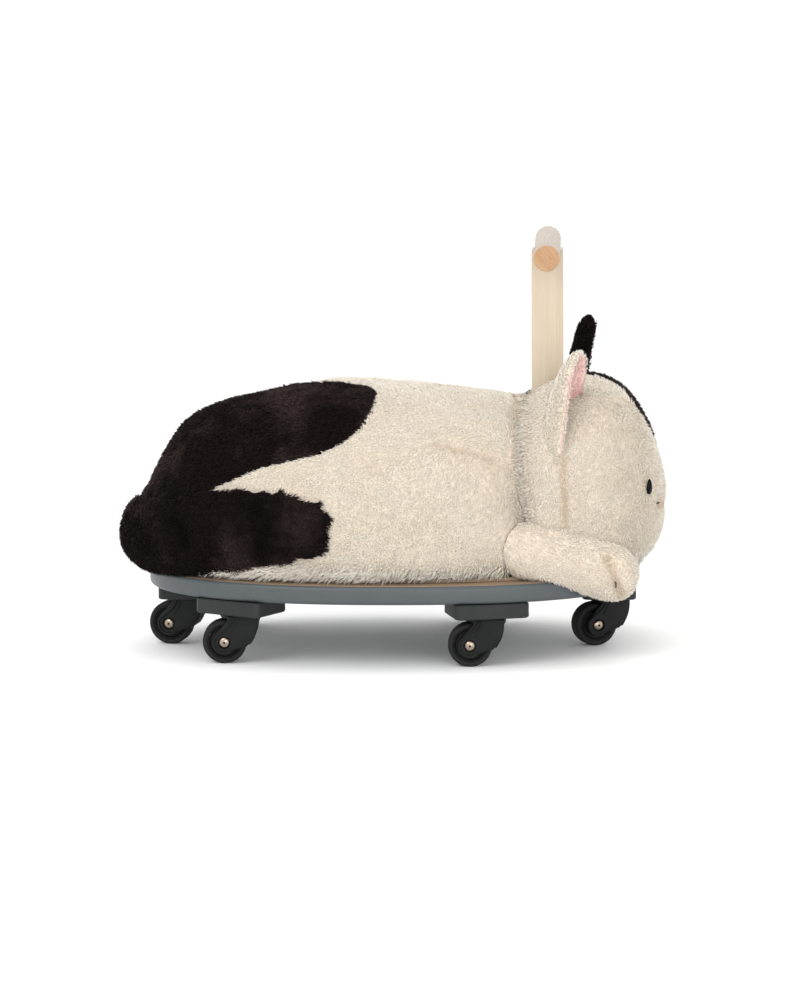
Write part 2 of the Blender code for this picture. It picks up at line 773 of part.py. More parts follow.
def caster_places():
    """Name, swivel axis and turn of each mounting block."""
    half_depth = BLOCK_DEPTH / 2 + BLOCK_EDGE_INSET
    places = [
        ("rear", BOARD_REAR + REAR_CASTER_INSET, 0, math.pi / 2),
        ("front", BOARD_FRONT - FRONT_CASTER_INSET, 0, math.pi / 2),
    ]
    for label, edge_share in (("rear", SIDE_REAR_EDGE_SHARE), ("front", SIDE_FRONT_EDGE_SHARE)):
        lean = oval_normal_angle(edge_share)
        edge_x = BOARD_CENTRE_X + edge_share * BOARD_LENGTH / 2
        edge_y = oval_half_width(edge_share, BOARD_WIDTH / 2)
        x = edge_x - half_depth * math.sin(lean)
        y = edge_y - half_depth * math.cos(lean)
        places.append(("right_" + label, x, -y, lean))
        places.append(("left_" + label, x, y, -lean))
    return places


def make_casters():
    block = block_mesh()
    fork = fork_mesh()
    tyre = tyre_mesh()
    hub = hub_mesh()
    axle = axle_mesh()
    bearing = bearing_mesh()
    pin = rod_mesh(
        "king_pin",
        KING_PIN_DIAMETER / 2,
        FORK_TOP - KING_PIN_IN_FORK,
        BLOCK_BOTTOM + KING_PIN_IN_BLOCK,
        PIN_STEPS,
        smooth=True,
    )
    for name, x, y, block_turn in caster_places():
        prefix = name + "_caster_"
        fork_turn = math.radians(FORK_REST_DEGREES[name])
        add_object(prefix + "block", block, "black_plastic", None, (x, y, 0), block_turn)
        add_object(prefix + "king_pin", pin, "steel", None, (x, y, 0))
        add_object(prefix + "bearing", bearing, "steel", None, (x, y, 0))
        swivel = add_axis(prefix + "swivel_axis", (x, y, 0), fork_turn)
        add_object(prefix + "fork", fork, "black_plastic", swivel)
        add_object(prefix + "axle", axle, "steel", swivel, (-CASTER_TRAIL, 0, AXLE_Z))
        roll = add_axis(prefix + "roll_axis", (-CASTER_TRAIL, 0, AXLE_Z), 0, swivel)
        add_object(prefix + "wheel_hub", hub, "black_plastic", roll)
        add_object(prefix + "tyre", tyre, "black_rubber", roll)


# Plush


def body_mesh():
    """Cross-sections from the rump to the neck: a flat underside, full flanks and a domed back."""
    rise = SEAT_HEIGHT - BODY_FLOOR
    rings = []
    for along, top_share, width_share, tuck in BODY_SECTION_SHARES:
        x = BODY_REAR + along * BODY_LENGTH
        top = BODY_FLOOR + top_share * rise
        belly = BODY_FLOOR + BODY_BELLY_RISE
        middle = belly + tuck * (BODY_REAR_RISE - BODY_BELLY_RISE)
        low = BODY_FLOOR - BODY_UNDERCUT
        low += tuck * (middle - BODY_REAR_DROP - low)
        half_width = width_share * BODY_HALF_WIDTH
        ring = []
        for index in range(BODY_STEPS):
            angle = 2 * math.pi * (index + 0.5) / BODY_STEPS
            across = signed_power(math.cos(angle), BODY_SIDE_POWER)
            up = math.sin(angle)
            if up > 0:
                z = middle + (top - middle) * up**BODY_BACK_POWER
            else:
                z = middle - (middle - low) * abs(up) ** BODY_UNDER_POWER
            ring.append((x, half_width * across, max(z, BODY_FLOOR)))
        rings.append(ring)
    return ring_skin("body", rings)


def head_section(height_share):
    """Back, front and half width of the head at a share of its height."""
    table = HEAD_SECTION_SHARES
    for low, high in zip(table, table[1:]):
        if height_share <= high[0]:
            blend = (height_share - low[0]) / (high[0] - low[0])
            back, front, width = (low[k] + (high[k] - low[k]) * blend for k in (1, 2, 3))
            break
    return (
        HEAD_BACK + back * HEAD_LENGTH,
        HEAD_BACK + front * HEAD_LENGTH,
        width * HEAD_WIDTH / 2,
    )


def head_widest(back, front):
    return back + HEAD_WIDEST_SHARE * (front - back)


def head_mesh():
    """Level sections, square at the nape and round at the face."""
    rings = []
    for row in HEAD_SECTION_SHARES:
        back, front, half_width = head_section(row[0])
        middle = head_widest(back, front)
        ring = []
        for index in range(HEAD_STEPS):
            angle = 2 * math.pi * (index + 0.5) / HEAD_STEPS
            forward = math.cos(angle)
            power = HEAD_FACE_POWER if forward > 0 else HEAD_NAPE_POWER
            reach = front - middle if forward > 0 else middle - back
            x = middle + reach * signed_power(forward, power)
            y = half_width * signed_power(math.sin(angle), power)
            ring.append((x, y, HEAD_FLOOR + row[0] * HEAD_HEIGHT))
        rings.append(ring)
    return ring_skin("head", rings)


def on_head(shares, side):
    return Vector(
        (
            HEAD_BACK + shares[0] * HEAD_LENGTH,
            side * shares[1] * HEAD_WIDTH / 2,
            HEAD_FLOOR + shares[2] * HEAD_HEIGHT,
        )
    )


def ear_mesh(side, tip_shares):
    """A pointed pad whose long side lies along the head, bowed backwards."""
    root = on_head(EAR_ROOT_SHARES, side)
    tip = on_head(tip_shares, side)
    forward, outward, up = EAR_SPREAD_SHARES
    spread = Vector((forward, side * outward, up)).normalized()
    rise = (tip - root).normalized()
    root = tip - rise * EAR_LENGTH
    thick = rise.cross(spread).normalized()
    rim = EAR_RIM_SHARE * EAR_THICKNESS
    rings = []
    for step in EAR_RING_SHARES:
        centre = root + (tip - root) * step
        centre.x -= EAR_BACKWARD_BOW * math.sin(math.pi * min(1, step * EAR_BOW_SHARE))
        inner, outer = EAR_SIDE_POWERS
        half_wide = EAR_WIDTH / 2 * (1 - step**inner) ** outer + rim
        inner, outer = EAR_BACK_POWERS
        half_thick = EAR_THICKNESS / 2 * (1 - step**inner) ** outer + rim
        ring = []
        for index in range(EAR_STEPS):
            angle = 2 * math.pi * (index + 0.5) / EAR_STEPS
            ring.append(
                centre + spread * half_wide * math.cos(angle) + thick * half_thick * math.sin(angle)
            )
        rings.append(ring)
    return ring_skin("ear", rings)


def smooth_path(points):
    """Points on one Catmull-Rom curve through the given ones. Each has a place and a size share."""
    padded = [points[0], *points, points[-1]]
    result = []
    for knots in zip(padded, padded[1:], padded[2:], padded[3:]):
        for step in range(PATH_STEPS):
            t = step / PATH_STEPS
            weights = (
                (-t + 2 * t**2 - t**3) / 2,
                (2 - 5 * t**2 + 3 * t**3) / 2,
                (t + 4 * t**2 - 3 * t**3) / 2,
                (t**3 - t**2) / 2,
            )
            place = sum((knot[0] * weight for knot, weight in zip(knots, weights)), Vector())
            size = sum(knot[1] * weight for knot, weight in zip(knots, weights))
            result.append((place, size))
    result.append(points[-1])
    return result


def along_path(path, distance):
    """Place, direction and size share at a distance along a path."""
    walked = 0
    for (here, size), (there, next_size) in zip(path, path[1:]):
        span = (there - here).length
        if walked + span >= distance:
            break
        walked += span
    share = min((distance - walked) / span, 1)
    return here.lerp(there, share), (there - here).normalized(), size + (next_size - size) * share


def limb_mesh(name, points, half_thick, half_high):
    """A stuffed limb: oval rings along a path, drawn in to a rounded end at both ends."""
    path = smooth_path(points)
    whole = sum((there[0] - here[0]).length for here, there in zip(path, path[1:]))
    end_turns = [math.pi / 2 * step / LIMB_END_STEPS for step in range(LIMB_END_STEPS + 1)]
    ends = [(half_high * (1 - math.cos(turn)), math.sin(turn)) for turn in end_turns]
    middle = whole - 2 * half_high
    count = round(middle / LIMB_PITCH)
    stations = list(ends)
    stations += [(half_high + middle * step / count, 1) for step in range(1, count)]
    stations += [(whole - distance, drawn_in) for distance, drawn_in in reversed(ends)]
    rings = []
    for distance, drawn_in in stations:
        centre, forward, size = along_path(path, distance)
        side = Vector((0, 0, 1)).cross(forward).normalized()
        up = forward.cross(side)
        scale = size * (LIMB_END_SHARE + (1 - LIMB_END_SHARE) * drawn_in)
        ring = []
        for step in range(LIMB_STEPS):
            angle = 2 * math.pi * (step + 0.5) / LIMB_STEPS
            wide = half_thick * scale * math.cos(angle)
            high = half_high * scale * math.sin(angle)
            ring.append(centre + side * wide + up * high)
        rings.append(ring)
    return ring_skin(name, rings)


def arm_mesh(side):
    paw_end = HEAD_BACK + (1 - ARM_END_SHARE) * HEAD_LENGTH - ARM_HEIGHT / 4
    elbow = HEAD_BACK - ARM_HEIGHT / 4
    run = paw_end - elbow
    level = BOARD_TOP + ARM_HEIGHT / 2 - 2 * GAP
    points = []
    for along, out, drop in ARM_PATH_SHARES:
        place = Vector((elbow + along * run, side * out * ARM_SPACING / 2, level - drop * ARM_DROP))
        points.append((place, 1.0))
    return limb_mesh("arm", points, ARM_THICKNESS / 2, ARM_HEIGHT / 2)


def tail_mesh():
    """The tail leaves the rump, wraps round it and lies along the right flank."""
    points = []
    half_length = BOARD_LENGTH / 2 + TAIL_REAR_STAND - TAIL_THICKNESS / 2
    half_width = BOARD_WIDTH / 2 + TAIL_OUTER_STAND - TAIL_THICKNESS / 2
    for turn, height_share, size in TAIL_PATH_SHARES:
        x, y = oval_point(turn, half_length, half_width)
        height = BODY_FLOOR + height_share * TAIL_HEIGHT
        points.append((Vector((BOARD_CENTRE_X + x, y, height)), size))
    return limb_mesh("tail", points, TAIL_THICKNESS / 2, TAIL_HEIGHT / 2)


def eye_mesh(side):
    """A domed eye that sits on the face, with its back shaped to it."""
    height_share = (EYE_LEVEL - HEAD_FLOOR) / HEAD_HEIGHT
    back, front, half_width = head_section(height_share)
    middle = head_widest(back, front)
    y = side * EYE_SPACING_SHARE * HEAD_WIDTH / 2
    y_share = abs(y) / half_width
    x = middle + (front - middle) * math.sqrt(1 - y_share**2)
    slope = math.atan2((front - middle) * y_share, half_width * math.sqrt(1 - y_share**2))
    bm = bmesh.new()
    bmesh.ops.create_uvsphere(bm, u_segments=EYE_STEPS, v_segments=EYE_STEPS // 2, radius=0.5)
    bmesh.ops.scale(bm, verts=bm.verts, vec=(EYE_DEPTH, EYE_WIDTH, EYE_HEIGHT))
    bmesh.ops.rotate(bm, verts=bm.verts, matrix=Matrix.Rotation(side * slope, 3, "Z"))
    return mesh_from(bm, "eye", True), (x, y, EYE_LEVEL)


def make_plush():
    half = POST_SIDE / 2 + GAP
    slot = box_mesh("post_slot", (-half, -half, BOARD_TOP), (half, half, BAR_HEIGHT))
    post_slot = add_cutter("post_slot", slot, None, (POST_X, 0, 0))
    seats = []
    for name, inset, top in (("board_seat", 0, BOARD_TOP), ("panel_seat", PANEL_INSET, PANEL_TOP)):
        half_length = BOARD_LENGTH / 2 - inset + GAP
        half_width = BOARD_WIDTH / 2 - inset + GAP
        steps = PANEL_STEPS if inset else BOARD_STEPS
        outline = oval_outline(half_length, half_width, steps)
        mesh = plate_mesh(name, outline, BOARD_BOTTOM - GAP, top + GAP)
        seats.append(add_cutter(name, mesh, None, (BOARD_CENTRE_X, 0, 0)))

    body = add_object("body_plush", body_mesh(), "cream_fur")
    body_room = add_cutter("body_room", grown_copy(body.data, "body_room"))
    boolean(body, post_slot)

    head = add_object("head_plush", head_mesh(), "cream_fur")
    head_room = add_cutter("head_room", grown_copy(head.data, "head_room"))
    boolean(head, body_room)
    boolean(head, post_slot)

    tail = add_object("tail_plush", tail_mesh(), "dark_fur")
    for room in (body_room, *seats):
        boolean(tail, room)

    for side, name, ear_colour in ((-1, "right", "cream_fur"), (1, "left", "dark_fur")):
        ear = add_object(name + "_ear", ear_mesh(side, EAR_TIP_SHARES[name]), ear_colour)
        boolean(ear, head_room)
        arm = add_object(name + "_arm", arm_mesh(side), "cream_fur")
        for room in (body_room, head_room, *seats):
            boolean(arm, room)
        mesh, place = eye_mesh(side)
        eye = add_object(name + "_eye", mesh, "eye_black", None, place)
        boolean(eye, head_room)


def main():
    clear_scene()
    board, panel = make_board()
    make_handle(board, panel)
    make_casters()
    make_plush()


main()
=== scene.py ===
import json
import math

import bmesh
import bpy
import numpy as np
from mathutils import Matrix, Vector, noise
from mathutils.bvhtree import BVHTree


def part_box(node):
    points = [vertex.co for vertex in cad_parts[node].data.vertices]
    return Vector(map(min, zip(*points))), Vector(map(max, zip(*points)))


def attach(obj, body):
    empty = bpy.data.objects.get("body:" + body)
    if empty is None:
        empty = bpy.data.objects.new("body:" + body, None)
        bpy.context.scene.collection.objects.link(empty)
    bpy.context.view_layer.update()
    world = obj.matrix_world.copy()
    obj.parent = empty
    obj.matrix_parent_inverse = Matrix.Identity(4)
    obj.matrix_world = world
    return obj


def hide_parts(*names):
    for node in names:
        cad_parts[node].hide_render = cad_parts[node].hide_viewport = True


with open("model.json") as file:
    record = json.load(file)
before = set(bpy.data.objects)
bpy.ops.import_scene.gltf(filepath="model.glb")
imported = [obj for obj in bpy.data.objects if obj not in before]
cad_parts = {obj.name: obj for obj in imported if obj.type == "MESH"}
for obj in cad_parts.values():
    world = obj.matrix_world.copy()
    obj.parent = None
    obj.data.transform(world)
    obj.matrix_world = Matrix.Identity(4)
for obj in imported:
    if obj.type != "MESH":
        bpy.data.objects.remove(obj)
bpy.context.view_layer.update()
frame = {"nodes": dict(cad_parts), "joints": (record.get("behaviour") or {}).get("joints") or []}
scene = bpy.context.scene

# Real sizes, in metres
BOARD_CENTRE_X = 0.00175
BOARD_HALF_LENGTH = 0.23675
BOARD_HALF_WIDTH = 0.158
BOARD_BOTTOM = 0.063
BOARD_TOP = 0.081
BOARD_OVAL_POWER = 2.3
BOARD_EASE = 0.0042
BOLT_HEAD_RADIUS = 0.006
BOLT_HEAD_DEPTH = 0.0045
BOLT_SPREAD = 0.0075
POST_X = 0.1498
POST_HALF = 0.01535
POST_BOTTOM = 0.0846
HANDLE_EASE = 0.0016
BAR_Z = 0.3844
BAR_RADIUS = 0.0126
BAR_HALF_LENGTH = 0.095
CASTER_TRAIL = 0.0156
WHEEL_RADIUS = 0.021
WHEEL_GAP = 0.0015
FORK_HALF_WIDTH = 0.014
FORK_SLOT_HALF = 0.00955
BOSS_RADIUS = 0.0113
RIB_RADIUS = 0.0100
RIB_BASE = 0.0138
SINK_RADIUS = 0.0061
SINK_FLOOR = 0.0116
SINK_END = 0.017
TYRE_HALF_WIDTH = 0.00875
HUB_HALF_WIDTH = 0.0084
BLOCK_BOTTOM = 0.0485
BLOCK_TOP = 0.0627
PILE_DEPTH = 0.0036
PLUSH_FLOOR = BOARD_TOP + 0.0036
# The foot of the plush spreads out below the skirt's top, and its pile grows longer below the fringe's
SKIRT_TOP, SKIRT_FADE = 0.100, 0.012
FRINGE_TOP, FRINGE_FADE = 0.106, 0.018
SWELL_PRESSURE = 4
SWELL_FRAMES = 20
TUFT_BEND = 0.8
EYE_LEVEL = 0.165
# For each ear, the foot and top of its outer and inner edges in millimetres, its cup, bluntness and fur
EARS = {
    -1: (((167, 115, 199), (178, 98, 291), (187, 62, 251), (190, 79, 291)), 0.021, 9, "cream"),
    1: (((170, 114, 199), (188, 99, 305), (191, 60, 254), (200, 75, 308)), 0.010, 40, "dark"),
}
ARMS = ("right_arm", "left_arm")
FUR_SLOTS = {"cream": "cream_fur", "pink": "cream_fur", "dark": "dark_fur"}
CASTERS = ("rear", "front", "right_rear", "left_rear", "right_front", "left_front")

joints = {joint["name"]: joint for joint in frame["joints"]}


# Camera, floor and studio light


def make_camera():
    data = bpy.data.cameras.new("photo_camera")
    data.lens = 200.4
    data.clip_end = 60
    camera = bpy.data.objects.new("photo_camera", data)
    camera.location = (0.1896, -5.3188, 0.9246)
    aim, up = Vector((-0.03393, 0.98874, -0.14576)), Vector((0, 0.14584, 0.98931))
    camera.rotation_euler = Matrix((aim.cross(up), up, -aim)).transposed().to_euler()
    scene.collection.objects.link(camera)
    scene.camera = camera


def make_studio():
    bm = bmesh.new()
    bmesh.ops.create_grid(bm, x_segments=1, y_segments=1, size=30)
    add_piece("studio_floor", bm, ["floor_paper"])
    for name, place, aim, size, watts in (
        ("key_softbox", (-1.5, -2.6, 2.5), (0, 0, 0.12), (1.8, 1.8), 42),
        ("top_softbox", (0.2, 0.5, 2.8), (0, 0, 0.1), (2.4, 1.6), 8),
        ("front_softbox", (1.1, -3.4, 0.9), (0.1, 0, 0.12), (2.4, 1.4), 30),
    ):
        data = bpy.data.lights.new(name, "AREA")
        data.shape = "RECTANGLE"
        data.size, data.size_y = size
        data.energy = watts
        lamp = bpy.data.objects.new(name, data)
        lamp.location = place
        lamp.rotation_euler = (Vector(aim) - Vector(place)).to_track_quat("-Z", "Y").to_euler()
        scene.collection.objects.link(lamp)
    world = bpy.data.worlds.new("studio_white")
    world.use_nodes = True
    background = world.node_tree.nodes["Background"]
    background.inputs["Color"].default_value = (1, 1, 1, 1)
    background.inputs["Strength"].default_value = 1.32
    scene.world = world
    scene.view_settings.view_transform = "Standard"


# Shader helpers


def feed(tree, socket, value):
    """Links another node's socket, or sets a plain value."""
    if isinstance(value, bpy.types.NodeSocket):
        tree.links.new(value, socket)
    else:
        socket.default_value = value


def put(tree, kind, inputs=None, **settings):
    """A node with its settings. Each input takes a plain value or another node's socket."""
    node = tree.nodes.new(kind)
    for name, value in settings.items():
        setattr(node, name, value)
    for name, value in (inputs or {}).items():
        feed(tree, node.inputs[name], value)
    return node


def maths(tree, operation, *values):
    return put(tree, "ShaderNodeMath", dict(enumerate(values)), operation=operation).outputs[0]


def vector_maths(tree, operation, *values):
    node = put(tree, "ShaderNodeVectorMath", dict(enumerate(values)), operation=operation)
    return node.outputs["Value" if operation == "DOT_PRODUCT" else 0]


def scaled(tree, vector, scale):
    return put(tree, "ShaderNodeVectorMath", {0: vector, "Scale": scale}, operation="SCALE").outputs[0]


def remap(tree, value, low, high, to_low=0.0, to_high=1.0):
    limits = {"From Min": low, "From Max": high, "To Min": to_low, "To Max": to_high}
    return put(tree, "ShaderNodeMapRange", {"Value": value, **limits}).outputs[0]


def noise_value(tree, place, scale, detail, roughness, distortion=0.0, output=0):
    values = {
        "Vector": place, "Scale": scale, "Detail": detail, "Roughness": roughness, "Distortion": distortion,
    }
    return put(tree, "ShaderNodeTexNoise", values).outputs[output]


def placed(tree, vector, scale=(1, 1, 1), turn=(0, 0, 0)):
    return put(tree, "ShaderNodeMapping", {"Vector": vector, "Scale": scale, "Rotation": turn}).outputs[0]


def mix_colour(tree, factor, first, second, blend="MIX"):
    colours = {0: factor, 6: first, 7: second}
    return put(tree, "ShaderNodeMix", colours, data_type="RGBA", blend_type=blend).outputs[2]


def around_one(tree, spread):
    """One less a spread, and one more."""
    return maths(tree, "SUBTRACT", 1.0, spread), maths(tree, "ADD", 1.0, spread)


def blank_group(name, colours, numbers, outputs):
    """A shader group that reads a vector, colours and numbers. Only its Colour output is a colour."""
    tree = bpy.data.node_groups.new(name, "ShaderNodeTree")
    kinds = {"Vector": "Vector", **dict.fromkeys(colours, "Color"), **dict.fromkeys(numbers, "Float")}
    for socket, kind in kinds.items():
        tree.interface.new_socket(name=socket, in_out="INPUT", socket_type="NodeSocket" + kind)
    for socket in outputs:
        kind = "Color" if socket == "Colour" else "Float"
        tree.interface.new_socket(name=socket, in_out="OUTPUT", socket_type="NodeSocket" + kind)
    return tree, put(tree, "NodeGroupInput").outputs


def wood_grain_group():
    """Long fibres along local Z with broad growth bands and short pores."""
    tree, given = blank_group(
        "wood_grain", ("Pale", "Deep"), ("Band", "Pore"), ("Colour", "Roughness", "Height")
    )
    long_way = placed(tree, given["Vector"], (1, 1, 0.035))
    bands = noise_value(tree, long_way, 150.0, 3.0, 0.55, 0.6)
    fibres = noise_value(tree, long_way, 900.0, 2.0, 0.5)
    pores = noise_value(tree, placed(tree, given["Vector"], (1, 1, 0.12)), 1500.0, 1.0, 0.4)
    both = maths(tree, "MULTIPLY_ADD", fibres, 0.35, maths(tree, "MULTIPLY", bands, given["Band"]))
    base = mix_colour(tree, remap(tree, both, 0.45, 1.0), given["Pale"], given["Deep"])
    pore = maths(tree, "MULTIPLY", remap(tree, pores, 0.62, 0.72), given["Pore"])
    darker = mix_colour(tree, 1.0, given["Deep"], (0.62, 0.55, 0.50, 1), "MULTIPLY")
    colour = mix_colour(tree, pore, base, darker)
    rough = remap(tree, fibres, 0.3, 0.7, 0.42, 0.58)
    put(tree, "NodeGroupOutput", {"Colour": colour, "Roughness": rough, "Height": both})
    return tree


def fine_surface_group():
    """Broad mottling, fine speckle and a few rubbed places, for paint, moulded plastic, rubber and metal."""
    tree, given = blank_group(
        "fine_surface", ("Base", "Rubbed"), ("Grain Scale", "Mottle", "Speckle", "Rough Low", "Rough High"),
        ("Colour", "Roughness", "Height"),
    )
    broad = noise_value(tree, given["Vector"], 28.0, 4.0, 0.6, 0.3)
    grain = noise_value(tree, given["Vector"], given["Grain Scale"], 2.0, 0.6)
    rubbed = maths(tree, "MULTIPLY", remap(tree, broad, 0.4, 0.72), given["Mottle"])
    speck = remap(tree, grain, 0.35, 0.75, *around_one(tree, given["Speckle"]))
    tone = mix_colour(tree, rubbed, given["Base"], given["Rubbed"])
    colour = scaled(tree, tone, speck)
    rough = remap(tree, grain, 0.3, 0.7, given["Rough Low"], given["Rough High"])
    put(tree, "NodeGroupOutput", {"Colour": colour, "Roughness": rough, "Height": grain})
    return tree


def pile_tone_group():
    """Colour of a tuft: deep at its root, partly its own warmer base and partly painted shade down in the
    pile, and pale at its tip; drifts over the piece, which on the dark fur are a painted sheen; and painted
    shade along creases.
    """
    tree, given = blank_group(
        "pile_tone", ("Root", "Tip", "Drift"),
        ("Drift Scale", "Along", "Tone", "Crease", "Spread", "Drift Low", "Drift High"), ("Colour", "Height"),
    )
    drift = noise_value(tree, given["Vector"], given["Drift Scale"], 3.0, 0.6)
    share = remap(tree, drift, given["Drift Low"], given["Drift High"], 0.0, 0.8)
    tip = mix_colour(tree, share, given["Tip"], given["Drift"])
    # Painted shade: the crease share pulls the colour from the tip back toward the deep root.
    open_part = maths(tree, "SUBTRACT", 1.0, given["Crease"])
    lit = maths(tree, "MULTIPLY", remap(tree, given["Along"], 0.0, 0.75), open_part)
    level = remap(tree, given["Tone"], 0.0, 1.0, *around_one(tree, given["Spread"]))
    colour = scaled(tree, mix_colour(tree, lit, given["Root"], tip), level)
    height = noise_value(tree, given["Vector"], 420.0, 2.0, 0.6)
    put(tree, "NodeGroupOutput", {"Colour": colour, "Height": height})
    return tree


GRAIN = wood_grain_group()
SURFACE = fine_surface_group()
PILE = pile_tone_group()


def group_material(name, group, values, plain, turn=None):
    """A material whose colour comes from one of the shared groups, read on the piece's own coordinates."""
    material = bpy.data.materials.new(name)
    material.use_nodes = True
    tree = material.node_tree
    place = put(tree, "ShaderNodeTexCoord").outputs["Object"]
    if turn:
        place = placed(tree, place, turn=turn)
    made = put(tree, "ShaderNodeGroup", {"Vector": place}, node_tree=group)
    shader = tree.nodes["Principled BSDF"]
    tree.links.new(made.outputs["Colour"], shader.inputs["Base Color"])
    for node, settings in ((made, values), (shader, plain)):
        for socket, value in settings.items():
            node.inputs[socket].default_value = value if isinstance(value, float) else (*value, 1)
    return material, tree, shader, made


def raise_by(tree, shader, height, distance):
    bump = put(tree, "ShaderNodeBump", {"Height": height, "Distance": distance, "Strength": 1.0})
    tree.links.new(bump.outputs["Normal"], shader.inputs["Normal"])


def hard_finish(name, group, values, bump, plain, turn=(0, 0, 0)):
    """Wood, paint, plastic, rubber or metal, with its roughness and bump from its group."""
    material, tree, shader, made = group_material(name, group, values, plain, turn)
    tree.links.new(made.outputs["Roughness"], shader.inputs["Roughness"])
    raise_by(tree, shader, made.outputs["Height"], bump)
    return material


def pile_material(name, values, on_tuft, plain):
    """Fur colour, for tufts with their own root to tip share or for the cloth that carries them."""
    # The crease attribute brings painted shade in seams, folds and grooves into the colour.
    read = {"crease": "Crease"}
    if on_tuft:
        read.update(along="Along", tone="Tone")
    else:
        values = {**values, "Along": 0.35, "Tone": 0.5}
    material, tree, shader, made = group_material(name, PILE, values, plain)
    for attribute, socket in read.items():
        value = put(tree, "ShaderNodeAttribute", attribute_name=attribute).outputs["Fac"]
        tree.links.new(value, made.inputs[socket])
    if not on_tuft:
        raise_by(tree, shader, made.outputs["Height"], 0.001)
    return material


OILED = {"Coat Weight": 0.08, "Coat Roughness": 0.4}
STEEL = {"Metallic": 1.0}
WOOD_INPUTS = ("Pale", "Deep", "Band", "Pore")
# A wood's inputs, its bump depth, its plain settings and the turn that lays its grain
WOODS = {
    "pine": ((0.50, 0.425, 0.325), (0.445, 0.36, 0.255), 1.0, 0.12, 0.00008, OILED, (0, 0, 0)),
    "beech_side": ((0.38, 0.32, 0.265), (0.34, 0.27, 0.215), 0.9, 0.5, 0.00008, OILED, (math.pi / 2, 0, 0)),
    "beech_end": ((0.41, 0.24, 0.125), (0.29, 0.155, 0.068), 1.0, 0.5, 0.0001, {}, (0, math.radians(42), 0)),
    "birch_ply": ((0.29, 0.205, 0.135), (0.21, 0.145, 0.095), 1.0, 0.3, 0.0001, {}, (0, math.pi / 2, 0)),
}
SURFACE_INPUTS = ("Base", "Rubbed", "Grain Scale", "Mottle", "Speckle", "Rough Low", "Rough High")
# A surface's inputs, its bump depth and its plain settings, where a number alone is its specular level
SURFACES = {
    "floor_paper": ((0.92, 0.92, 0.92), (0.93, 0.93, 0.93), 60.0, 0.3, 0.0, 0.75, 0.8, 0.00001, {}),
    "blue_grey_paint": ((0.056, 0.065, 0.07), (0.068, 0.078, 0.083), 520.0, 0.5, 0.05, 0.34, 0.5, 0.00006,
                        0.4),
    # Two copies of the one black caster plastic: the darker is painted shade, for the fork, ribs and hub, and
    # the lighter is painted light, for the block.
    "caster_nylon": ((0.0045, 0.005, 0.005), (0.012, 0.013, 0.013), 1700.0, 0.5, 0.2, 0.42, 0.6, 0.0001, 0.2),
    "block_nylon": ((0.013, 0.0148, 0.0148), (0.026, 0.028, 0.028), 1700.0, 0.5, 0.2, 0.42, 0.6, 0.0001, 0.3),
    "tyre_rubber": ((0.011, 0.011, 0.011), (0.022, 0.022, 0.021), 1100.0, 0.6, 0.15, 0.6, 0.8, 0.00012, 0.2),
    "nickel": ((0.36, 0.295, 0.235), (0.25, 0.20, 0.155), 2600.0, 0.4, 0.15, 0.22, 0.36, 0.00003, STEEL),
    "zinc": ((0.5, 0.5, 0.5), (0.38, 0.38, 0.38), 900.0, 0.5, 0.15, 0.3, 0.5, 0.00003, STEEL),
    "black_steel": ((0.016, 0.016, 0.017), (0.06, 0.06, 0.06), 900.0, 0.3, 0.15, 0.4, 0.55, 0.00003,
                    {"Metallic": 0.6}),
    "eye_gloss": ((0.0016, 0.0013, 0.0013), (0.004, 0.003, 0.003), 300.0, 0.4, 0.15, 0.05, 0.1, 0.00001,
                  0.08),
    "dark_thread": ((0.03, 0.02, 0.018), (0.07, 0.05, 0.045), 2600.0, 0.5, 0.15, 0.6, 0.8, 0.0001, {}),
    "pink_thread": ((0.66, 0.36, 0.33), (0.75, 0.48, 0.44), 2600.0, 0.5, 0.15, 0.6, 0.8, 0.0001, {}),
}
PALE_FUR = {"Roughness": 0.85, "Sheen Weight": 0.1, "Sheen Roughness": 0.4, "Specular IOR Level": 0.2}
DARK_FUR = {"Roughness": 0.6, "Specular IOR Level": 0.06}
FUR_INPUTS = ("Root", "Tip", "Drift", "Drift Scale", "Spread", "Drift Low", "Drift High")
# A fur's inputs and its plain settings. Each root colour is deeper than its tip, partly the fibre's own
# warmer base and partly painted shade down in the pile. The dark fur's drift colour, far paler than its tip,
# is a painted sheen in broad patches, while the cream and pink drifts are random tone.
FURS = {
    "cream": ((0.57, 0.44, 0.305), (0.84, 0.805, 0.735), (0.805, 0.76, 0.67), 24.0, 0.15, 0.35, 0.7,
              PALE_FUR),
    "dark": ((0.004, 0.0021, 0.002), (0.0125, 0.0070, 0.0070), (0.055, 0.038, 0.036), 15.0, 0.4, 0.47, 0.62,
             DARK_FUR),
    "pink": ((0.60, 0.36, 0.32), (0.80, 0.61, 0.57), (0.76, 0.56, 0.52), 60.0, 0.1, 0.35, 0.7, PALE_FUR),
}


def make_materials():
    made = {}
    for word, (*values, plain) in FURS.items():
        for part in ("tuft", "cloth"):
            name = word + "_" + part
            made[name] = pile_material(name, dict(zip(FUR_INPUTS, values)), part == "tuft", plain)
    for name, (*values, bump, plain, turn) in WOODS.items():
        made[name] = hard_finish(name, GRAIN, dict(zip(WOOD_INPUTS, values)), bump, plain, turn)
    for name, (*values, bump, plain) in SURFACES.items():
        if isinstance(plain, float):
            plain = {"Specular IOR Level": plain}
        made[name] = hard_finish(name, SURFACE, dict(zip(SURFACE_INPUTS, values)), bump, plain)
    return made


# Mesh helpers


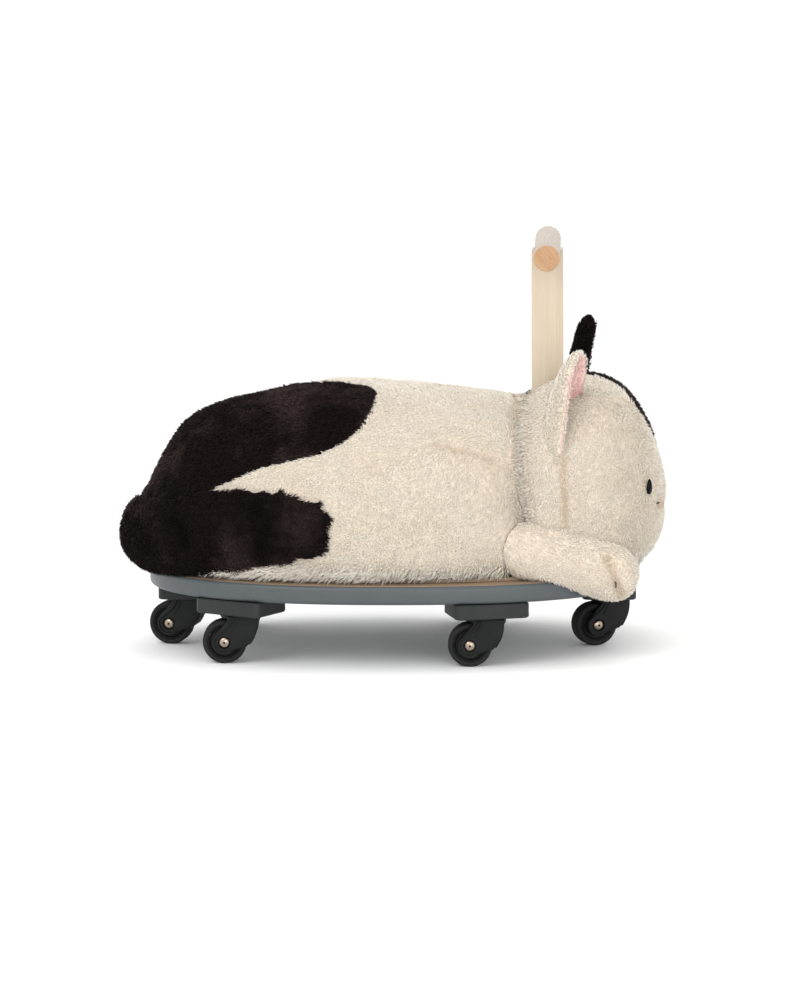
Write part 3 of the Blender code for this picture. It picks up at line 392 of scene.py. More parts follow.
def add_piece(name, bm, finishes=(), smooth_angle=None):
    mesh = bpy.data.meshes.new(name)
    bm.to_mesh(mesh)
    bm.free()
    for finish in finishes:
        mesh.materials.append(kit[finish])
    if smooth_angle is not None:
        smooth_below(mesh, smooth_angle)
    piece = bpy.data.objects.new(name, mesh)
    scene.collection.objects.link(piece)
    return piece


def smooth_below(mesh, degrees):
    mesh.shade_smooth()
    mesh.set_sharp_from_angle(angle=math.radians(degrees))


def dress(piece, slot, body="ride_on", node=None):
    """Attaches a piece to its body and hides the CAD solid it takes the place of. The slot is not used."""
    if node:
        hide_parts(node)
    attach(piece, body)


def modify(piece, kind, **settings):
    modifier = piece.modifiers.new(kind.lower(), kind)
    for name, value in settings.items():
        setattr(modifier, name, value)


def settled(piece):
    """Applies a piece's modifiers and keeps its name."""
    evaluated = piece.evaluated_get(bpy.context.evaluated_depsgraph_get())
    mesh = bpy.data.meshes.new_from_object(evaluated)
    old = piece.data
    piece.modifiers.clear()
    piece.data = mesh
    mesh.name = piece.name
    bpy.data.meshes.remove(old)


def faced_out(bm):
    bmesh.ops.recalc_face_normals(bm, faces=bm.faces)
    return bm


def turned_bmesh(profile, steps, way="Z"):
    """A closed profile of (radius, height) spun round Z, then laid along Y where asked."""
    bm = bmesh.new()
    corners = [bm.verts.new((radius, 0, height)) for radius, height in profile]
    edges = [bm.edges.new(pair) for pair in zip(corners, corners[1:] + corners[:1])]
    bmesh.ops.spin(
        bm, geom=corners + edges, cent=(0, 0, 0), axis=(0, 0, 1), angle=2 * math.pi, steps=steps,
        use_merge=True,
    )
    bmesh.ops.remove_doubles(bm, verts=bm.verts, dist=0.00002)
    bmesh.ops.dissolve_degenerate(bm, edges=bm.edges, dist=0.00001)
    faced_out(bm)
    if way == "Y":
        bmesh.ops.rotate(bm, verts=bm.verts, matrix=Matrix.Rotation(math.pi / 2, 3, "X"))
    return bm


def ring_edges(bm, points):
    """A closed loop of edges through the points."""
    corners = [bm.verts.new(point) for point in points]
    return [bm.edges.new(pair) for pair in zip(corners, corners[1:] + corners[:1])]


def join_loops(bm, loops):
    """Faces from each loop to the next, with both ends closed."""
    for first, second in zip(loops, loops[1:]):
        bmesh.ops.bridge_loops(bm, edges=first + second)
    for end in (loops[0], loops[-1]):
        bmesh.ops.contextual_create(bm, geom=end)


def heading(path, index):
    """The way a path runs at one of its points."""
    return Vector(path[min(index + 1, len(path) - 1)]) - Vector(path[max(index - 1, 0)])


def rounded_profile(points, radius, segments):
    """Rounds each corner of a closed profile, except those on the axis."""
    result = []
    count = len(points)
    for index, point in enumerate(points):
        here = Vector(point)
        before = Vector(points[index - 1]) - here
        after = Vector(points[(index + 1) % count]) - here
        if here.x < 0.00001:
            result.append(tuple(here))
            continue
        cut = min(radius, before.length / 2.2, after.length / 2.2)
        start = here + before.normalized() * cut
        end = here + after.normalized() * cut
        for step in range(segments + 1):
            share = step / segments
            first = start.lerp(here, share)
            result.append(tuple(first.lerp(here.lerp(end, share), share)))
    return result


def signed_power(value, power):
    return math.copysign(abs(value) ** power, value)


def oval_outline(steps):
    points = []
    for index in range(steps):
        angle = 2 * math.pi * index / steps
        power = 2 / BOARD_OVAL_POWER
        points.append((signed_power(math.cos(angle), power) * BOARD_HALF_LENGTH,
                       signed_power(math.sin(angle), power) * BOARD_HALF_WIDTH))
    return points


def eased_plate(outline, low, high, ease, segments, way="Z"):
    """An outline drawn out along Z, or along Y with the outline upright, with both its rims eased."""
    bm = bmesh.new()
    upright = way == "Y"
    base = bm.faces.new([bm.verts.new((a, low, b) if upright else (a, b, low)) for a, b in outline])
    grown = bmesh.ops.extrude_face_region(bm, geom=[base])["geom"]
    raised = [part for part in grown if isinstance(part, bmesh.types.BMVert)]
    bmesh.ops.translate(bm, verts=raised, vec=(0, high - low, 0) if upright else (0, 0, high - low))
    faced_out(bm)
    axis = 1 if upright else 2
    rims = [edge for edge in bm.edges if abs(edge.verts[0].co[axis] - edge.verts[1].co[axis]) < 0.001]
    bevelled(bm, rims, ease, segments)
    return bm


def bevelled(bm, edges, offset, segments):
    bmesh.ops.bevel(
        bm, geom=edges, offset=offset, segments=segments, affect="EDGES", profile=0.5, material=-1,
        clamp_overlap=True,
    )


def cut_with(piece, bm, operation="DIFFERENCE"):
    """One boolean step with a tool that is removed again."""
    tool = add_piece("cutting_tool", bm)
    modify(piece, "BOOLEAN", operation=operation, object=tool, solver="EXACT")
    settled(piece)
    bpy.data.objects.remove(tool, do_unlink=True)


def rod_bmesh(radius, low, high, steps, way, place):
    bm = turned_bmesh([(0, low), (radius, low), (radius, high), (0, high)], steps, way)
    bmesh.ops.translate(bm, verts=bm.verts, vec=place)
    return bm


# Board and handle


def make_board():
    bm = eased_plate(oval_outline(144), BOARD_BOTTOM, BOARD_TOP, BOARD_EASE, 4)
    bmesh.ops.translate(bm, verts=bm.verts, vec=(BOARD_CENTRE_X, 0, 0))
    board = add_piece("oval_board", bm, ["blue_grey_paint", "birch_ply"], 40)
    low, high = BOARD_BOTTOM - 0.002, BOARD_BOTTOM + BOLT_HEAD_DEPTH
    for side in (-1, 1):
        cut_with(board, rod_bmesh(BOLT_HEAD_RADIUS, low, high, 24, "Z", (POST_X, side * BOLT_SPREAD, 0)))
    for face in board.data.polygons:
        face.material_index = int(face.center.z > BOARD_TOP - 0.0003)
    dress(board, "painted_board", node="base_board")


def make_handle():
    bm = bmesh.new()
    bmesh.ops.create_cube(bm, size=1)
    bmesh.ops.scale(bm, verts=bm.verts, vec=(2 * POST_HALF, 2 * POST_HALF, BAR_Z - POST_BOTTOM))
    bmesh.ops.translate(bm, verts=bm.verts, vec=(POST_X, 0, (BAR_Z + POST_BOTTOM) / 2))
    bevelled(bm, bm.edges[:], HANDLE_EASE, 3)
    post = add_piece("handle_upright", bm, ["pine"], 40)
    cut_with(post, rod_bmesh(BAR_RADIUS + 0.0003, -0.03, 0.03, 64, "Y", (POST_X, 0, BAR_Z)))
    smooth_below(post.data, 35)
    dress(post, "pine", node="handle_post")

    reach = BAR_HALF_LENGTH
    profile = [(0, -reach), (BAR_RADIUS, -reach), (BAR_RADIUS, reach), (0, reach)]
    bm = turned_bmesh(rounded_profile(profile, HANDLE_EASE, 4), 72, "Y")
    bmesh.ops.translate(bm, verts=bm.verts, vec=(POST_X, 0, BAR_Z))
    for face in bm.faces:
        face.material_index = int(abs(face.calc_center_median().y) > reach - 0.0004)
    bar = add_piece("handle_grip", bm, ["beech_side", "beech_end"], 45)
    dress(bar, "beech", node="handle_bar")


# Casters, each modelled round its own swivel axis


def round_axle(radius, degrees):
    """Side view of points on a circle round the axle."""
    points = []
    for degree in degrees:
        turn = math.radians(degree)
        points.append((radius * math.cos(turn) - CASTER_TRAIL, WHEEL_RADIUS + radius * math.sin(turn)))
    return points


def fork_side_outline():
    """Side view of the fork: a round boss, a slanting back, a bulging front and a notched skirt."""
    points = round_axle(BOSS_RADIUS, range(262, 140, -8))
    points += [(-0.0124, 0.0420), (-0.0124, 0.0466), (0.0168, 0.0466), (0.0168, 0.0420)]
    for step in range(1, 9):
        share = step / 8
        points.append((0.0168 - 0.0074 * share**2.2, 0.0420 - share * 0.0228))
    return points + [(0.0076, 0.0192), (0.0058, 0.0174)]


def fork_bmesh():
    """The fork's plate with a round crown, a slot for the wheel and a sunk place for each axle head."""
    plate = eased_plate(fork_side_outline(), -FORK_HALF_WIDTH, FORK_HALF_WIDTH, 0.0016, 3, "Y")
    fork = add_piece("fork_blank", plate)
    crown = [(0, 0.0355), (0.0128, 0.0355), (0.0150, 0.0376), (0.0172, 0.0400), (0.0184, 0.0426),
             (0.0186, 0.0455), (0.0182, 0.0470), (0, 0.0470)]
    neck = turned_bmesh(crown, 56)
    bmesh.ops.scale(neck, verts=neck.verts, vec=(1, 0.745, 1))
    cut_with(fork, neck, "UNION")
    axle = (-CASTER_TRAIL, 0, WHEEL_RADIUS)
    cut_with(fork, rod_bmesh(WHEEL_RADIUS + WHEEL_GAP, -FORK_SLOT_HALF, FORK_SLOT_HALF, 72, "Y", axle))
    for side in (-1, 1):
        low, high = sorted((side * SINK_FLOOR, side * SINK_END))
        cut_with(fork, rod_bmesh(SINK_RADIUS, low, high, 40, "Y", axle))
    bm = bmesh.new()
    bm.from_mesh(fork.data)
    bpy.data.objects.remove(fork, do_unlink=True)
    return bm


def rib_bmesh():
    """Two raised ribs on each side plate: one down its back and round the axle boss, one beside it."""
    bm = bmesh.new()
    outer = [(-0.0068, 0.0448), (-0.0088, 0.0410), (-0.0112, 0.0370)]
    outer += round_axle(RIB_RADIUS, range(150, 310, 11))
    inner = [(-0.0040, 0.0440), (-0.0052, 0.0395), (-0.0080, 0.0345), (-0.0106, 0.0305), (-0.0120, 0.0275)]
    section = [(math.cos(math.pi * step / 4), math.sin(math.pi * step / 4)) for step in range(8)]
    for side in (-1, 1):
        for path, width, rise in ((outer, 0.0013, 0.0015), (inner, 0.0016, 0.0012)):
            loops = []
            for index, (x, z) in enumerate(path):
                ahead = heading(path, index)
                across = Vector((ahead.y, -ahead.x)).normalized()
                lift = rise * min(1, index / 2 + 0.45, (len(path) - 1 - index) / 3 + 0.2)
                loops.append(ring_edges(bm, [
                    (x + across.x * width * a, side * (RIB_BASE + lift * b), z + across.y * width * a)
                    for a, b in section
                ]))
            join_loops(bm, loops)
    return faced_out(bm)


def block_bmesh():
    """A thick rounded plate with eased edges."""
    half_length, half_depth, corner = 0.036, 0.026, 0.006
    outline = []
    for index, (sx, sy) in enumerate(((1, 1), (-1, 1), (-1, -1), (1, -1))):
        for step in range(8):
            angle = (index + step / 7) * math.pi / 2
            outline.append((sx * (half_length - corner) + corner * math.cos(angle),
                            sy * (half_depth - corner) + corner * math.sin(angle)))
    bm = bmesh.new()
    levels = ((BLOCK_TOP, 0.97), (BLOCK_TOP - 0.0008, 1), (BLOCK_BOTTOM + 0.0012, 1), (BLOCK_BOTTOM, 0.965))
    join_loops(bm, [ring_edges(bm, [(x * scale, y * scale, z) for x, y in outline]) for z, scale in levels])
    return faced_out(bm)


def both_sides(profile):
    """A profile of (radius, height) followed by its mirror image."""
    return profile + [(radius, -height) for radius, height in reversed(profile)]


def wheel_ring(half, side, steps):
    """A ring as wide as two halves, from the (radius, inset) corners of one side."""
    profile = both_sides([(radius, inset - half) for radius, inset in side])
    return turned_bmesh(rounded_profile(profile, 0.0004, 2), steps, "Y")


def tyre_bmesh():
    side = [(0.0155, 0.0012), (0.0162, 0.0012), (0.0166, 0), (0.0190, 0), (0.0205, 0.0009), (0.0210, 0.0026)]
    return wheel_ring(TYRE_HALF_WIDTH, side, 80)


def hub_bmesh():
    side = [(0.0033, 0), (0.0075, 0), (0.0092, 0.0026), (0.0138, 0.0026), (0.0146, 0.0012), (0.0153, 0.0012)]
    return wheel_ring(HUB_HALF_WIDTH, side, 64)


def axle_bmesh():
    """Shank with two domed heads, each with a small round drive recess whose faces take the black steel as
    painted shade.
    """
    head = [(0, 0.0137), (0.0008, 0.0137), (0.0012, 0.0145), (0.0025, 0.0143), (0.0040, 0.0137),
            (0.0048, 0.0130), (0.0050, 0.0127), (0.0050, 0.0118), (0.0030, 0.0118)]
    bm = turned_bmesh(both_sides(head), 40, "Y")
    # Painted shade: the faces inside each drive recess take the black steel.
    for face in bm.faces:
        middle = face.calc_center_median()
        face.material_index = int(math.hypot(middle.x, middle.z) < 0.0011)
    return bm


def oval_facing(place):
    """How far a block is turned to lie along the board's edge, with the two on the centre line crosswise."""
    if abs(place.y) < 0.02:
        return math.pi / 2
    power = BOARD_OVAL_POWER - 1
    x, y = (place.x - BOARD_CENTRE_X) / BOARD_HALF_LENGTH, place.y / BOARD_HALF_WIDTH
    slope_x = signed_power(x, power) / BOARD_HALF_LENGTH
    slope_y = signed_power(y, power) / BOARD_HALF_WIDTH
    return math.atan(-slope_x / slope_y)


def turned_at(place, turn):
    return Matrix.Translation(place) @ Matrix.Rotation(turn, 4, "Z")


def make_casters():
    plastic = "black_plastic"
    # Each part's shape, finishes, smoothing angle, slot, place, body and CAD solid
    parts = {
        # The fork, ribs and hub take the darker, shaded copy of the caster plastic, and the block takes the
        # lighter, lit copy.
        "fork_shell": (fork_bmesh(), ["caster_nylon"], 34, plastic, "swivel", "swivel_fork", "fork"),
        "block_shape": (block_bmesh(), ["block_nylon"], 30, plastic, "block", None, "block"),
        "rib_shape": (rib_bmesh(), ["caster_nylon"], 60, plastic, "swivel", "swivel_fork", None),
        "tyre_shape": (tyre_bmesh(), ["tyre_rubber"], 35, "black_rubber", "wheel", "wheel", "tyre"),
        "wheel_hub_shape": (hub_bmesh(), ["caster_nylon"], 35, plastic, "wheel", "wheel", "wheel_hub"),
        "axle_shape": (axle_bmesh(), ["nickel", "black_steel"], 40, "steel", "wheel", "swivel_fork", "axle"),
    }
    for caster in CASTERS:
        prefix = caster + "_caster_"
        x, y, _ = joints[prefix + "swivel"]["pos_m"]
        roll = joints[prefix + "roll"]
        across = Vector(roll["axis"])
        fork_turn = math.atan2(-across.x, across.y)
        low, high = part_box(prefix + "block")
        middle = (low + high) / 2
        places = {
            "swivel": turned_at((x, y, 0), fork_turn),
            "wheel": turned_at(roll["pos_m"], fork_turn),
            "block": turned_at((middle.x, middle.y, 0), oval_facing(middle)),
        }
        for name, (shape, finishes, angle, slot, place, body, node) in parts.items():
            copy = shape.copy()
            bmesh.ops.transform(copy, matrix=places[place], verts=copy.verts)
            piece = add_piece(prefix + name, copy, finishes, angle)
            dress(piece, slot, prefix + body if body else "ride_on", prefix + node if node else None)


# Plush skins


def merged_copy(node):
    """A CAD solid's faces with their doubles merged."""
    bm = bmesh.new()
    bm.from_mesh(frame["nodes"][node].data)
    bmesh.ops.remove_doubles(bm, verts=bm.verts, dist=0.00001)
    return bm


def read_vectors(elements, field):
    values = np.empty(len(elements) * 3)
    elements.foreach_get(field, values)
    return values.reshape(-1, 3)


def read_points(mesh):
    return read_vectors(mesh.vertices, "co")


def write_points(mesh, points):
    mesh.vertices.foreach_set("co", points.ravel())
    mesh.update()


def read_normals(mesh):
    return read_vectors(mesh.vertex_normals, "vector")


def store(mesh, **layers):
    """Keeps each array of numbers or vectors on the mesh's points."""
    for name, values in layers.items():
        flat = np.asarray(values, dtype=float)
        kind, field = ("FLOAT_VECTOR", "vector") if flat.ndim == 2 else ("FLOAT", "value")
        mesh.attributes.new(name, kind, "POINT").data.foreach_set(field, flat.ravel())


def bell(distance, reach):
    return np.exp(-((distance / reach) ** 2))


def line_distance(points, line):
    nearest = np.full(len(points), 1.0)
    for start, end in zip(line, line[1:]):
        start, run = np.array(start), np.array(end) - np.array(start)
        share = np.clip((points - start) @ run / (run @ run), 0, 1)
        nearest = np.minimum(nearest, np.linalg.norm(points - start - share[:, None] * run, axis=1))
    return nearest


def laid_on(tree, line, step=0.008):
    """A line of points, filled in and dropped onto the nearest surface."""
    result = []
    for start, end in zip(line, line[1:]):
        start, end = Vector(start) / 1000, Vector(end) / 1000
        count = max(1, round((end - start).length / step))
        for index in range(count):
            result.append(tuple(tree.find_nearest(start.lerp(end, index / count))[0]))
    result.append(tuple(tree.find_nearest(Vector(line[-1]) / 1000)[0]))
    return result


def waves(points, scale, seed):
    """Smooth noise at each point, from -1 to 1."""
    shift = Vector((seed * 7.3, seed * 3.1, seed * 5.7))
    return np.array([noise.noise(Vector(point) * scale + shift) for point in points])


def swirl(points, scale, seeds):
    return np.stack([waves(points, scale, seed) for seed in seeds], axis=1)


def neighbour_trees(nodes):
    return [BVHTree.FromBMesh(merged_copy(node)) for node in nodes]


def nearest_on(points, trees, reach):
    """Each point's number with the place, normal, face and distance that a tree has nearest to it."""
    for index, point in enumerate(points):
        for tree in trees:
            found = tree.find_nearest(Vector(point), reach)
            if found[0] is not None:
                yield index, found


def ray_lengths(points, normals, trees, start, reach):
    """Each point's number with how far a ray goes down its normal, from a start above it, to meet a tree."""
    for index, point in enumerate(points):
        normal = Vector(normals[index])
        for tree in trees:
            hit = tree.ray_cast(Vector(point) + normal * start, -normal, reach)
            if hit[0] is not None:
                yield index, hit[3]


def open_share(points, normals, trees, near, far):
    """0 where a point lies face to face with a neighbour, 1 where it is clear of them all."""
    share = np.ones(len(points))
    for index, (_, normal, _, gap) in nearest_on(points, trees, far):
        if normal.dot(Vector(normals[index])) < -0.2:
            share[index] = min(share[index], max(0, (gap - near) / (far - near)))
    return share


def near_share(points, trees, reach):
    """1 on a neighbour's surface, falling to 0 at the reach."""
    share = np.zeros(len(points))
    for index, found in nearest_on(points, trees, reach):
        share[index] = max(share[index], 1 - found[3] / reach)
    return share


def drape(points, trees, most=0.006, near=0.008, far=0.017, left=0.0015):
    """Draws points that face a narrow gap across it, so that the skin lies against its neighbour."""
    moved = points.copy()
    for index, (place, _, _, gap) in nearest_on(points, trees, far):
        if gap > left:
            pull = min(gap - left, most) * min(1, (far - gap) / (far - near))
            moved[index] += (np.array(place) - points[index]) * pull / gap
    return moved


def bare_share(points, normals, trees, near, far, out=0.016):
    """0 where one of the trees lies over a point by more than the far distance, 1 where none does."""
    share = np.ones(len(points))
    for index, length in ray_lengths(points, normals, trees, out, out):
        share[index] = min(share[index], max(0, 1 - (out - length - near) / (far - near)))
    return share


def thick_share(points, normals, tree, thickness):
    """How thick the solid is behind each point, as a share of a thickness."""
    share = np.ones(len(points))
    for index, length in ray_lengths(points, normals, [tree], -0.0002, thickness):
        share[index] = length / thickness
    return share


def face_tree(mesh):
    points = [Vector(point) for point in read_points(mesh)]
    return BVHTree.FromPolygons(points, [tuple(face.vertices) for face in mesh.polygons])


def swell(piece, held, cap):
    """Blows the skin up as cloth while its seams are held, and limits how far it moves."""
    group = piece.vertex_groups.new(name="held")
    for index in np.nonzero(held > 0.05)[0]:
        group.add([int(index)], float(held[index]), "REPLACE")
    cloth = piece.modifiers.new("swell", "CLOTH")
    settings = cloth.settings
    settings.vertex_group_mass = "held"
    settings.use_pressure = True
    settings.uniform_pressure_force = SWELL_PRESSURE
    settings.effector_weights.gravity = 0
    settings.quality = 4
    cloth.point_cache.frame_end = SWELL_FRAMES
    for step in range(1, SWELL_FRAMES + 1):
        scene.frame_set(step)
    start = read_points(piece.data)
    evaluated = piece.evaluated_get(bpy.context.evaluated_depsgraph_get())
    end = read_points(evaluated.to_mesh())
    evaluated.to_mesh_clear()
    piece.modifiers.remove(cloth)
    piece.vertex_groups.clear()
    scene.frame_set(1)
    move = end - start
    length = np.linalg.norm(move, axis=1)
    move *= (np.minimum(length, cap) / np.maximum(length, 0.000001))[:, None]
    write_points(piece.data, start + move)


def plush_skin(name, node, cell, seams=(), neighbours=(), covers=(), cap=0.002, lump=0.0008,
               comb=(-1, 0, -0.6), reach=1.0, neck_mate=None):
    """The cloth under the pile: remeshed from the CAD solid, drawn in, creased, blown up and smoothed.

    Each seam is a line in millimetres with how deep and how wide it pulls the skin in. A part with a neck
    mate leans on that one and rests on the board, with longer pile at both places.
    """
    skin = add_piece(name, merged_copy(node))
    modify(skin, "REMESH", mode="VOXEL", voxel_size=cell)
    settled(skin)
    bm = bmesh.new()
    bm.from_mesh(skin.data)
    for _ in range(4):
        bmesh.ops.smooth_vert(
            bm, verts=bm.verts, factor=0.5, use_axis_x=True, use_axis_y=True, use_axis_z=True,
        )
    bm.to_mesh(skin.data)
    bm.free()

    points = read_points(skin.data)
    normals = read_normals(skin.data)
    trees = neighbour_trees(neighbours)
    touching = 1 - open_share(points, normals, trees, 0.0012, 0.0060)
    depth = PILE_DEPTH * (1 - touching) * (1 - 0.85 * near_share(points, trees, 0.014))
    depth *= thick_share(points, normals, face_tree(skin.data), 3 * PILE_DEPTH)
    mates = neighbour_trees([neck_mate] if neck_mate else [])
    depth -= 0.0026 * near_share(points, mates, 0.020) ** 2 * (1 - touching)
    resting = np.zeros(len(points), dtype=bool)
    if neck_mate:
        resting = (points[:, 2] < PLUSH_FLOOR + 0.004) & (normals[:, 2] < -0.6)
        depth[resting] *= 0.1
        low = np.clip((SKIRT_TOP - points[:, 2]) / SKIRT_FADE, 0, 1) * (normals[:, 2] > -0.6)
        depth = depth * (1 - low) - 0.0012 * low
    points = points - normals * depth[:, None]
    if node == "head_plush":
        points = drape(points, mates)
    write_points(skin.data, points)

    tree = face_tree(skin.data)
    lines = [(laid_on(tree, line), depth, wide) for line, depth, wide in seams]
    held = np.maximum(resting.astype(float), touching)
    normals = read_normals(skin.data)
    for line, depth, wide in lines:
        distance = line_distance(points, line)
        points = points - normals * (depth * bell(distance, wide))[:, None]
        held = np.maximum(held, bell(distance, 0.004))
    write_points(skin.data, points)
    swell(skin, held, cap)

    modify(skin, "SUBSURF", levels=1, render_levels=1)
    settled(skin)
    points = read_points(skin.data)
    normals = read_normals(skin.data)
    soft = waves(points, 38, 1) + 0.5 * waves(points, 90, 2)
    # The crease share is painted shade along each seam and fold. It takes the fur toward its deeper root
    # colour and also keeps the lumps out of the seams.
    crease = np.zeros(len(points))
    for line, depth, wide in lines:
        crease = np.maximum(crease, bell(line_distance(points, line), wide * 1.1) * min(0.8, depth / 0.003))
    points = points + normals * (lump * soft * (1 - crease))[:, None]
    write_points(skin.data, points)
    skin.data.shade_smooth()

    outside = points + normals * PILE_DEPTH
    pile = open_share(outside, normals, trees, 0.0004, 0.0016)
    pile *= bare_share(points, normals, neighbour_trees(covers), PILE_DEPTH + 0.0006, PILE_DEPTH + 0.0020)
    combed = np.array(comb) + 1.1 * swirl(points, 24, (3, 4, 5))
    lengths = reach * (1 + 0.12 * waves(points, 60, 9))
    if neck_mate:
        pile[(points[:, 2] < PLUSH_FLOOR + 0.003) & (normals[:, 2] < -0.7)] = 0
        low = np.clip((FRINGE_TOP - points[:, 2]) / FRINGE_FADE, 0, 1)
        low *= 1 - 0.5 * bell(points[:, 0] - 0.060, 0.040)
        combed += low[:, None] * (normals * (3, 3, 0) - (0, 0, 1.2))
        lengths += 2.2 * low
        neck = near_share(points, mates, 0.018)
        lengths += 1.6 * neck
        toward = 3.0 if node == "body_plush" else -2.0
        combed += neck[:, None] * np.array((toward, 0, 0))
        pile *= 1 + 0.4 * low
        # Painted shade: a little more crease share where the body meets the head, which warms and deepens the
        # fur in that groove.
        crease += 0.15 * neck
    store(skin.data, pile=pile, crease=crease, comb=combed, reach=lengths)
    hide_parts(node)
    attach(skin, "ride_on")
    return skin


def paint_patches(skin, patch, *colours):
    """Marks the dark fur by a distance inside it, or by one share for all, and colours the cloth under it."""
    points = read_points(skin.data)
    values = np.clip(patch(points * 1000) / 10, -1, 1) if callable(patch) else np.full(len(points), patch)
    store(skin.data, dark=values)
    skin.data.materials.clear()
    for colour in colours:
        skin.data.materials.append(kit[colour + "_cloth"])
    if len(colours) > 1:
        for face in skin.data.polygons:
            face.material_index = int(values[list(face.vertices)].mean() > 0)


# Pile: closed three-sided tufts, scattered over a skin


def tuft_source():
    """A bent spindle one unit high, closed, with its height share and its side kept on each point."""
    bm = bmesh.new()
    along = bm.verts.layers.float.new("along")
    across = bm.verts.layers.float.new("across")
    widest = 0.42
    for low, high, radii in ((0, widest, (0, 0.5)), (widest, 1, (0.5, 0))):
        lift = Matrix.Translation((0, 0, (low + high) / 2))
        bmesh.ops.create_cone(
            bm, cap_ends=False, segments=3, radius1=radii[0], radius2=radii[1], depth=high - low, matrix=lift
        )
    bmesh.ops.remove_doubles(bm, verts=bm.verts, dist=0.001)
    bmesh.ops.dissolve_degenerate(bm, edges=bm.edges, dist=0.001)
    faced_out(bm)
    for vert in bm.verts:
        vert[along] = vert.co.z
        vert[across] = 0.5 + vert.co.y
        vert.co.x += TUFT_BEND * max(0, vert.co.z - widest / 2)
    return add_piece("tuft", bm)


def random_value(tree, low, high, seed, vector=False):
    kind = "FLOAT_VECTOR" if vector else "FLOAT"
    node = put(tree, "FunctionNodeRandomValue", data_type=kind)
    sockets = [socket for socket in node.inputs if socket.enabled]
    for socket, value in zip(sockets, (low, high)):
        socket.default_value = value
    node.inputs["Seed"].default_value = seed
    return next(socket for socket in node.outputs if socket.enabled)


def read_attribute(tree, name, kind="FLOAT"):
    node = put(tree, "GeometryNodeInputNamedAttribute", {"Name": name}, data_type=kind)
    return node.outputs["Attribute"]


def stored(tree, geometry, name, value, kind, domain):
    values = {"Geometry": geometry, "Name": name, "Value": value}
    return put(tree, "GeometryNodeStoreNamedAttribute", values, data_type=kind, domain=domain).outputs[0]


def split(tree, vector):
    return put(tree, "ShaderNodeSeparateXYZ", {"Vector": vector}).outputs


def joined(tree, x, y, z=0.0):
    return put(tree, "ShaderNodeCombineXYZ", {"X": x, "Y": y, "Z": z}).outputs[0]


def aimed_tufts(tree, given, place, normal):
    """The turn of each tuft: combed flat, lifted, shaken, and swept along with its neighbours."""
    comb = read_attribute(tree, "comb", "FLOAT_VECTOR")
    upright = scaled(tree, normal, vector_maths(tree, "DOT_PRODUCT", comb, normal))
    flat = vector_maths(tree, "NORMALIZE", vector_maths(tree, "SUBTRACT", comb, upright))
    loose = random_value(tree, (-1, -1, -1), (1, 1, 1), 12, vector=True)
    clump = noise_value(tree, place, 430.0, 1.0, 0.5, output="Color")
    centred = vector_maths(tree, "SUBTRACT", clump, (0.5, 0.5, 0.5))
    lifted = vector_maths(tree, "ADD", flat, scaled(tree, normal, given["Stand"]))
    shaken = scaled(tree, loose, given["Unrest"])
    swept = vector_maths(tree, "ADD", shaken, scaled(tree, centred, given["Clump"]))
    aim = vector_maths(tree, "ADD", lifted, swept)
    pointed = put(tree, "FunctionNodeAlignRotationToVector", {"Vector": aim}, axis="Z").outputs[0]
    curl = vector_maths(tree, "ADD", flat, scaled(tree, loose, 0.7))
    rolled = {"Rotation": pointed, "Vector": curl}
    return put(tree, "FunctionNodeAlignRotationToVector", rolled, axis="X", pivot_axis="Z").outputs[0]


def chosen_tufts(tree, given, place):
    """Tufts of one colour, on one side of the part and one end of it."""
    ragged = maths(tree, "ADD", read_attribute(tree, "dark"), random_value(tree, -0.12, 0.12, 11))
    chosen = maths(tree, "GREATER_THAN", maths(tree, "MULTIPLY", ragged, given["Patch"]), 0.0)
    spot = split(tree, place)
    for way, share in (("Y", "Side"), ("X", "End")):
        wanted = maths(tree, "GREATER_THAN", maths(tree, "MULTIPLY", spot[way], given[share]), -0.0000001)
        chosen = maths(tree, "MULTIPLY", chosen, wanted)
    return chosen


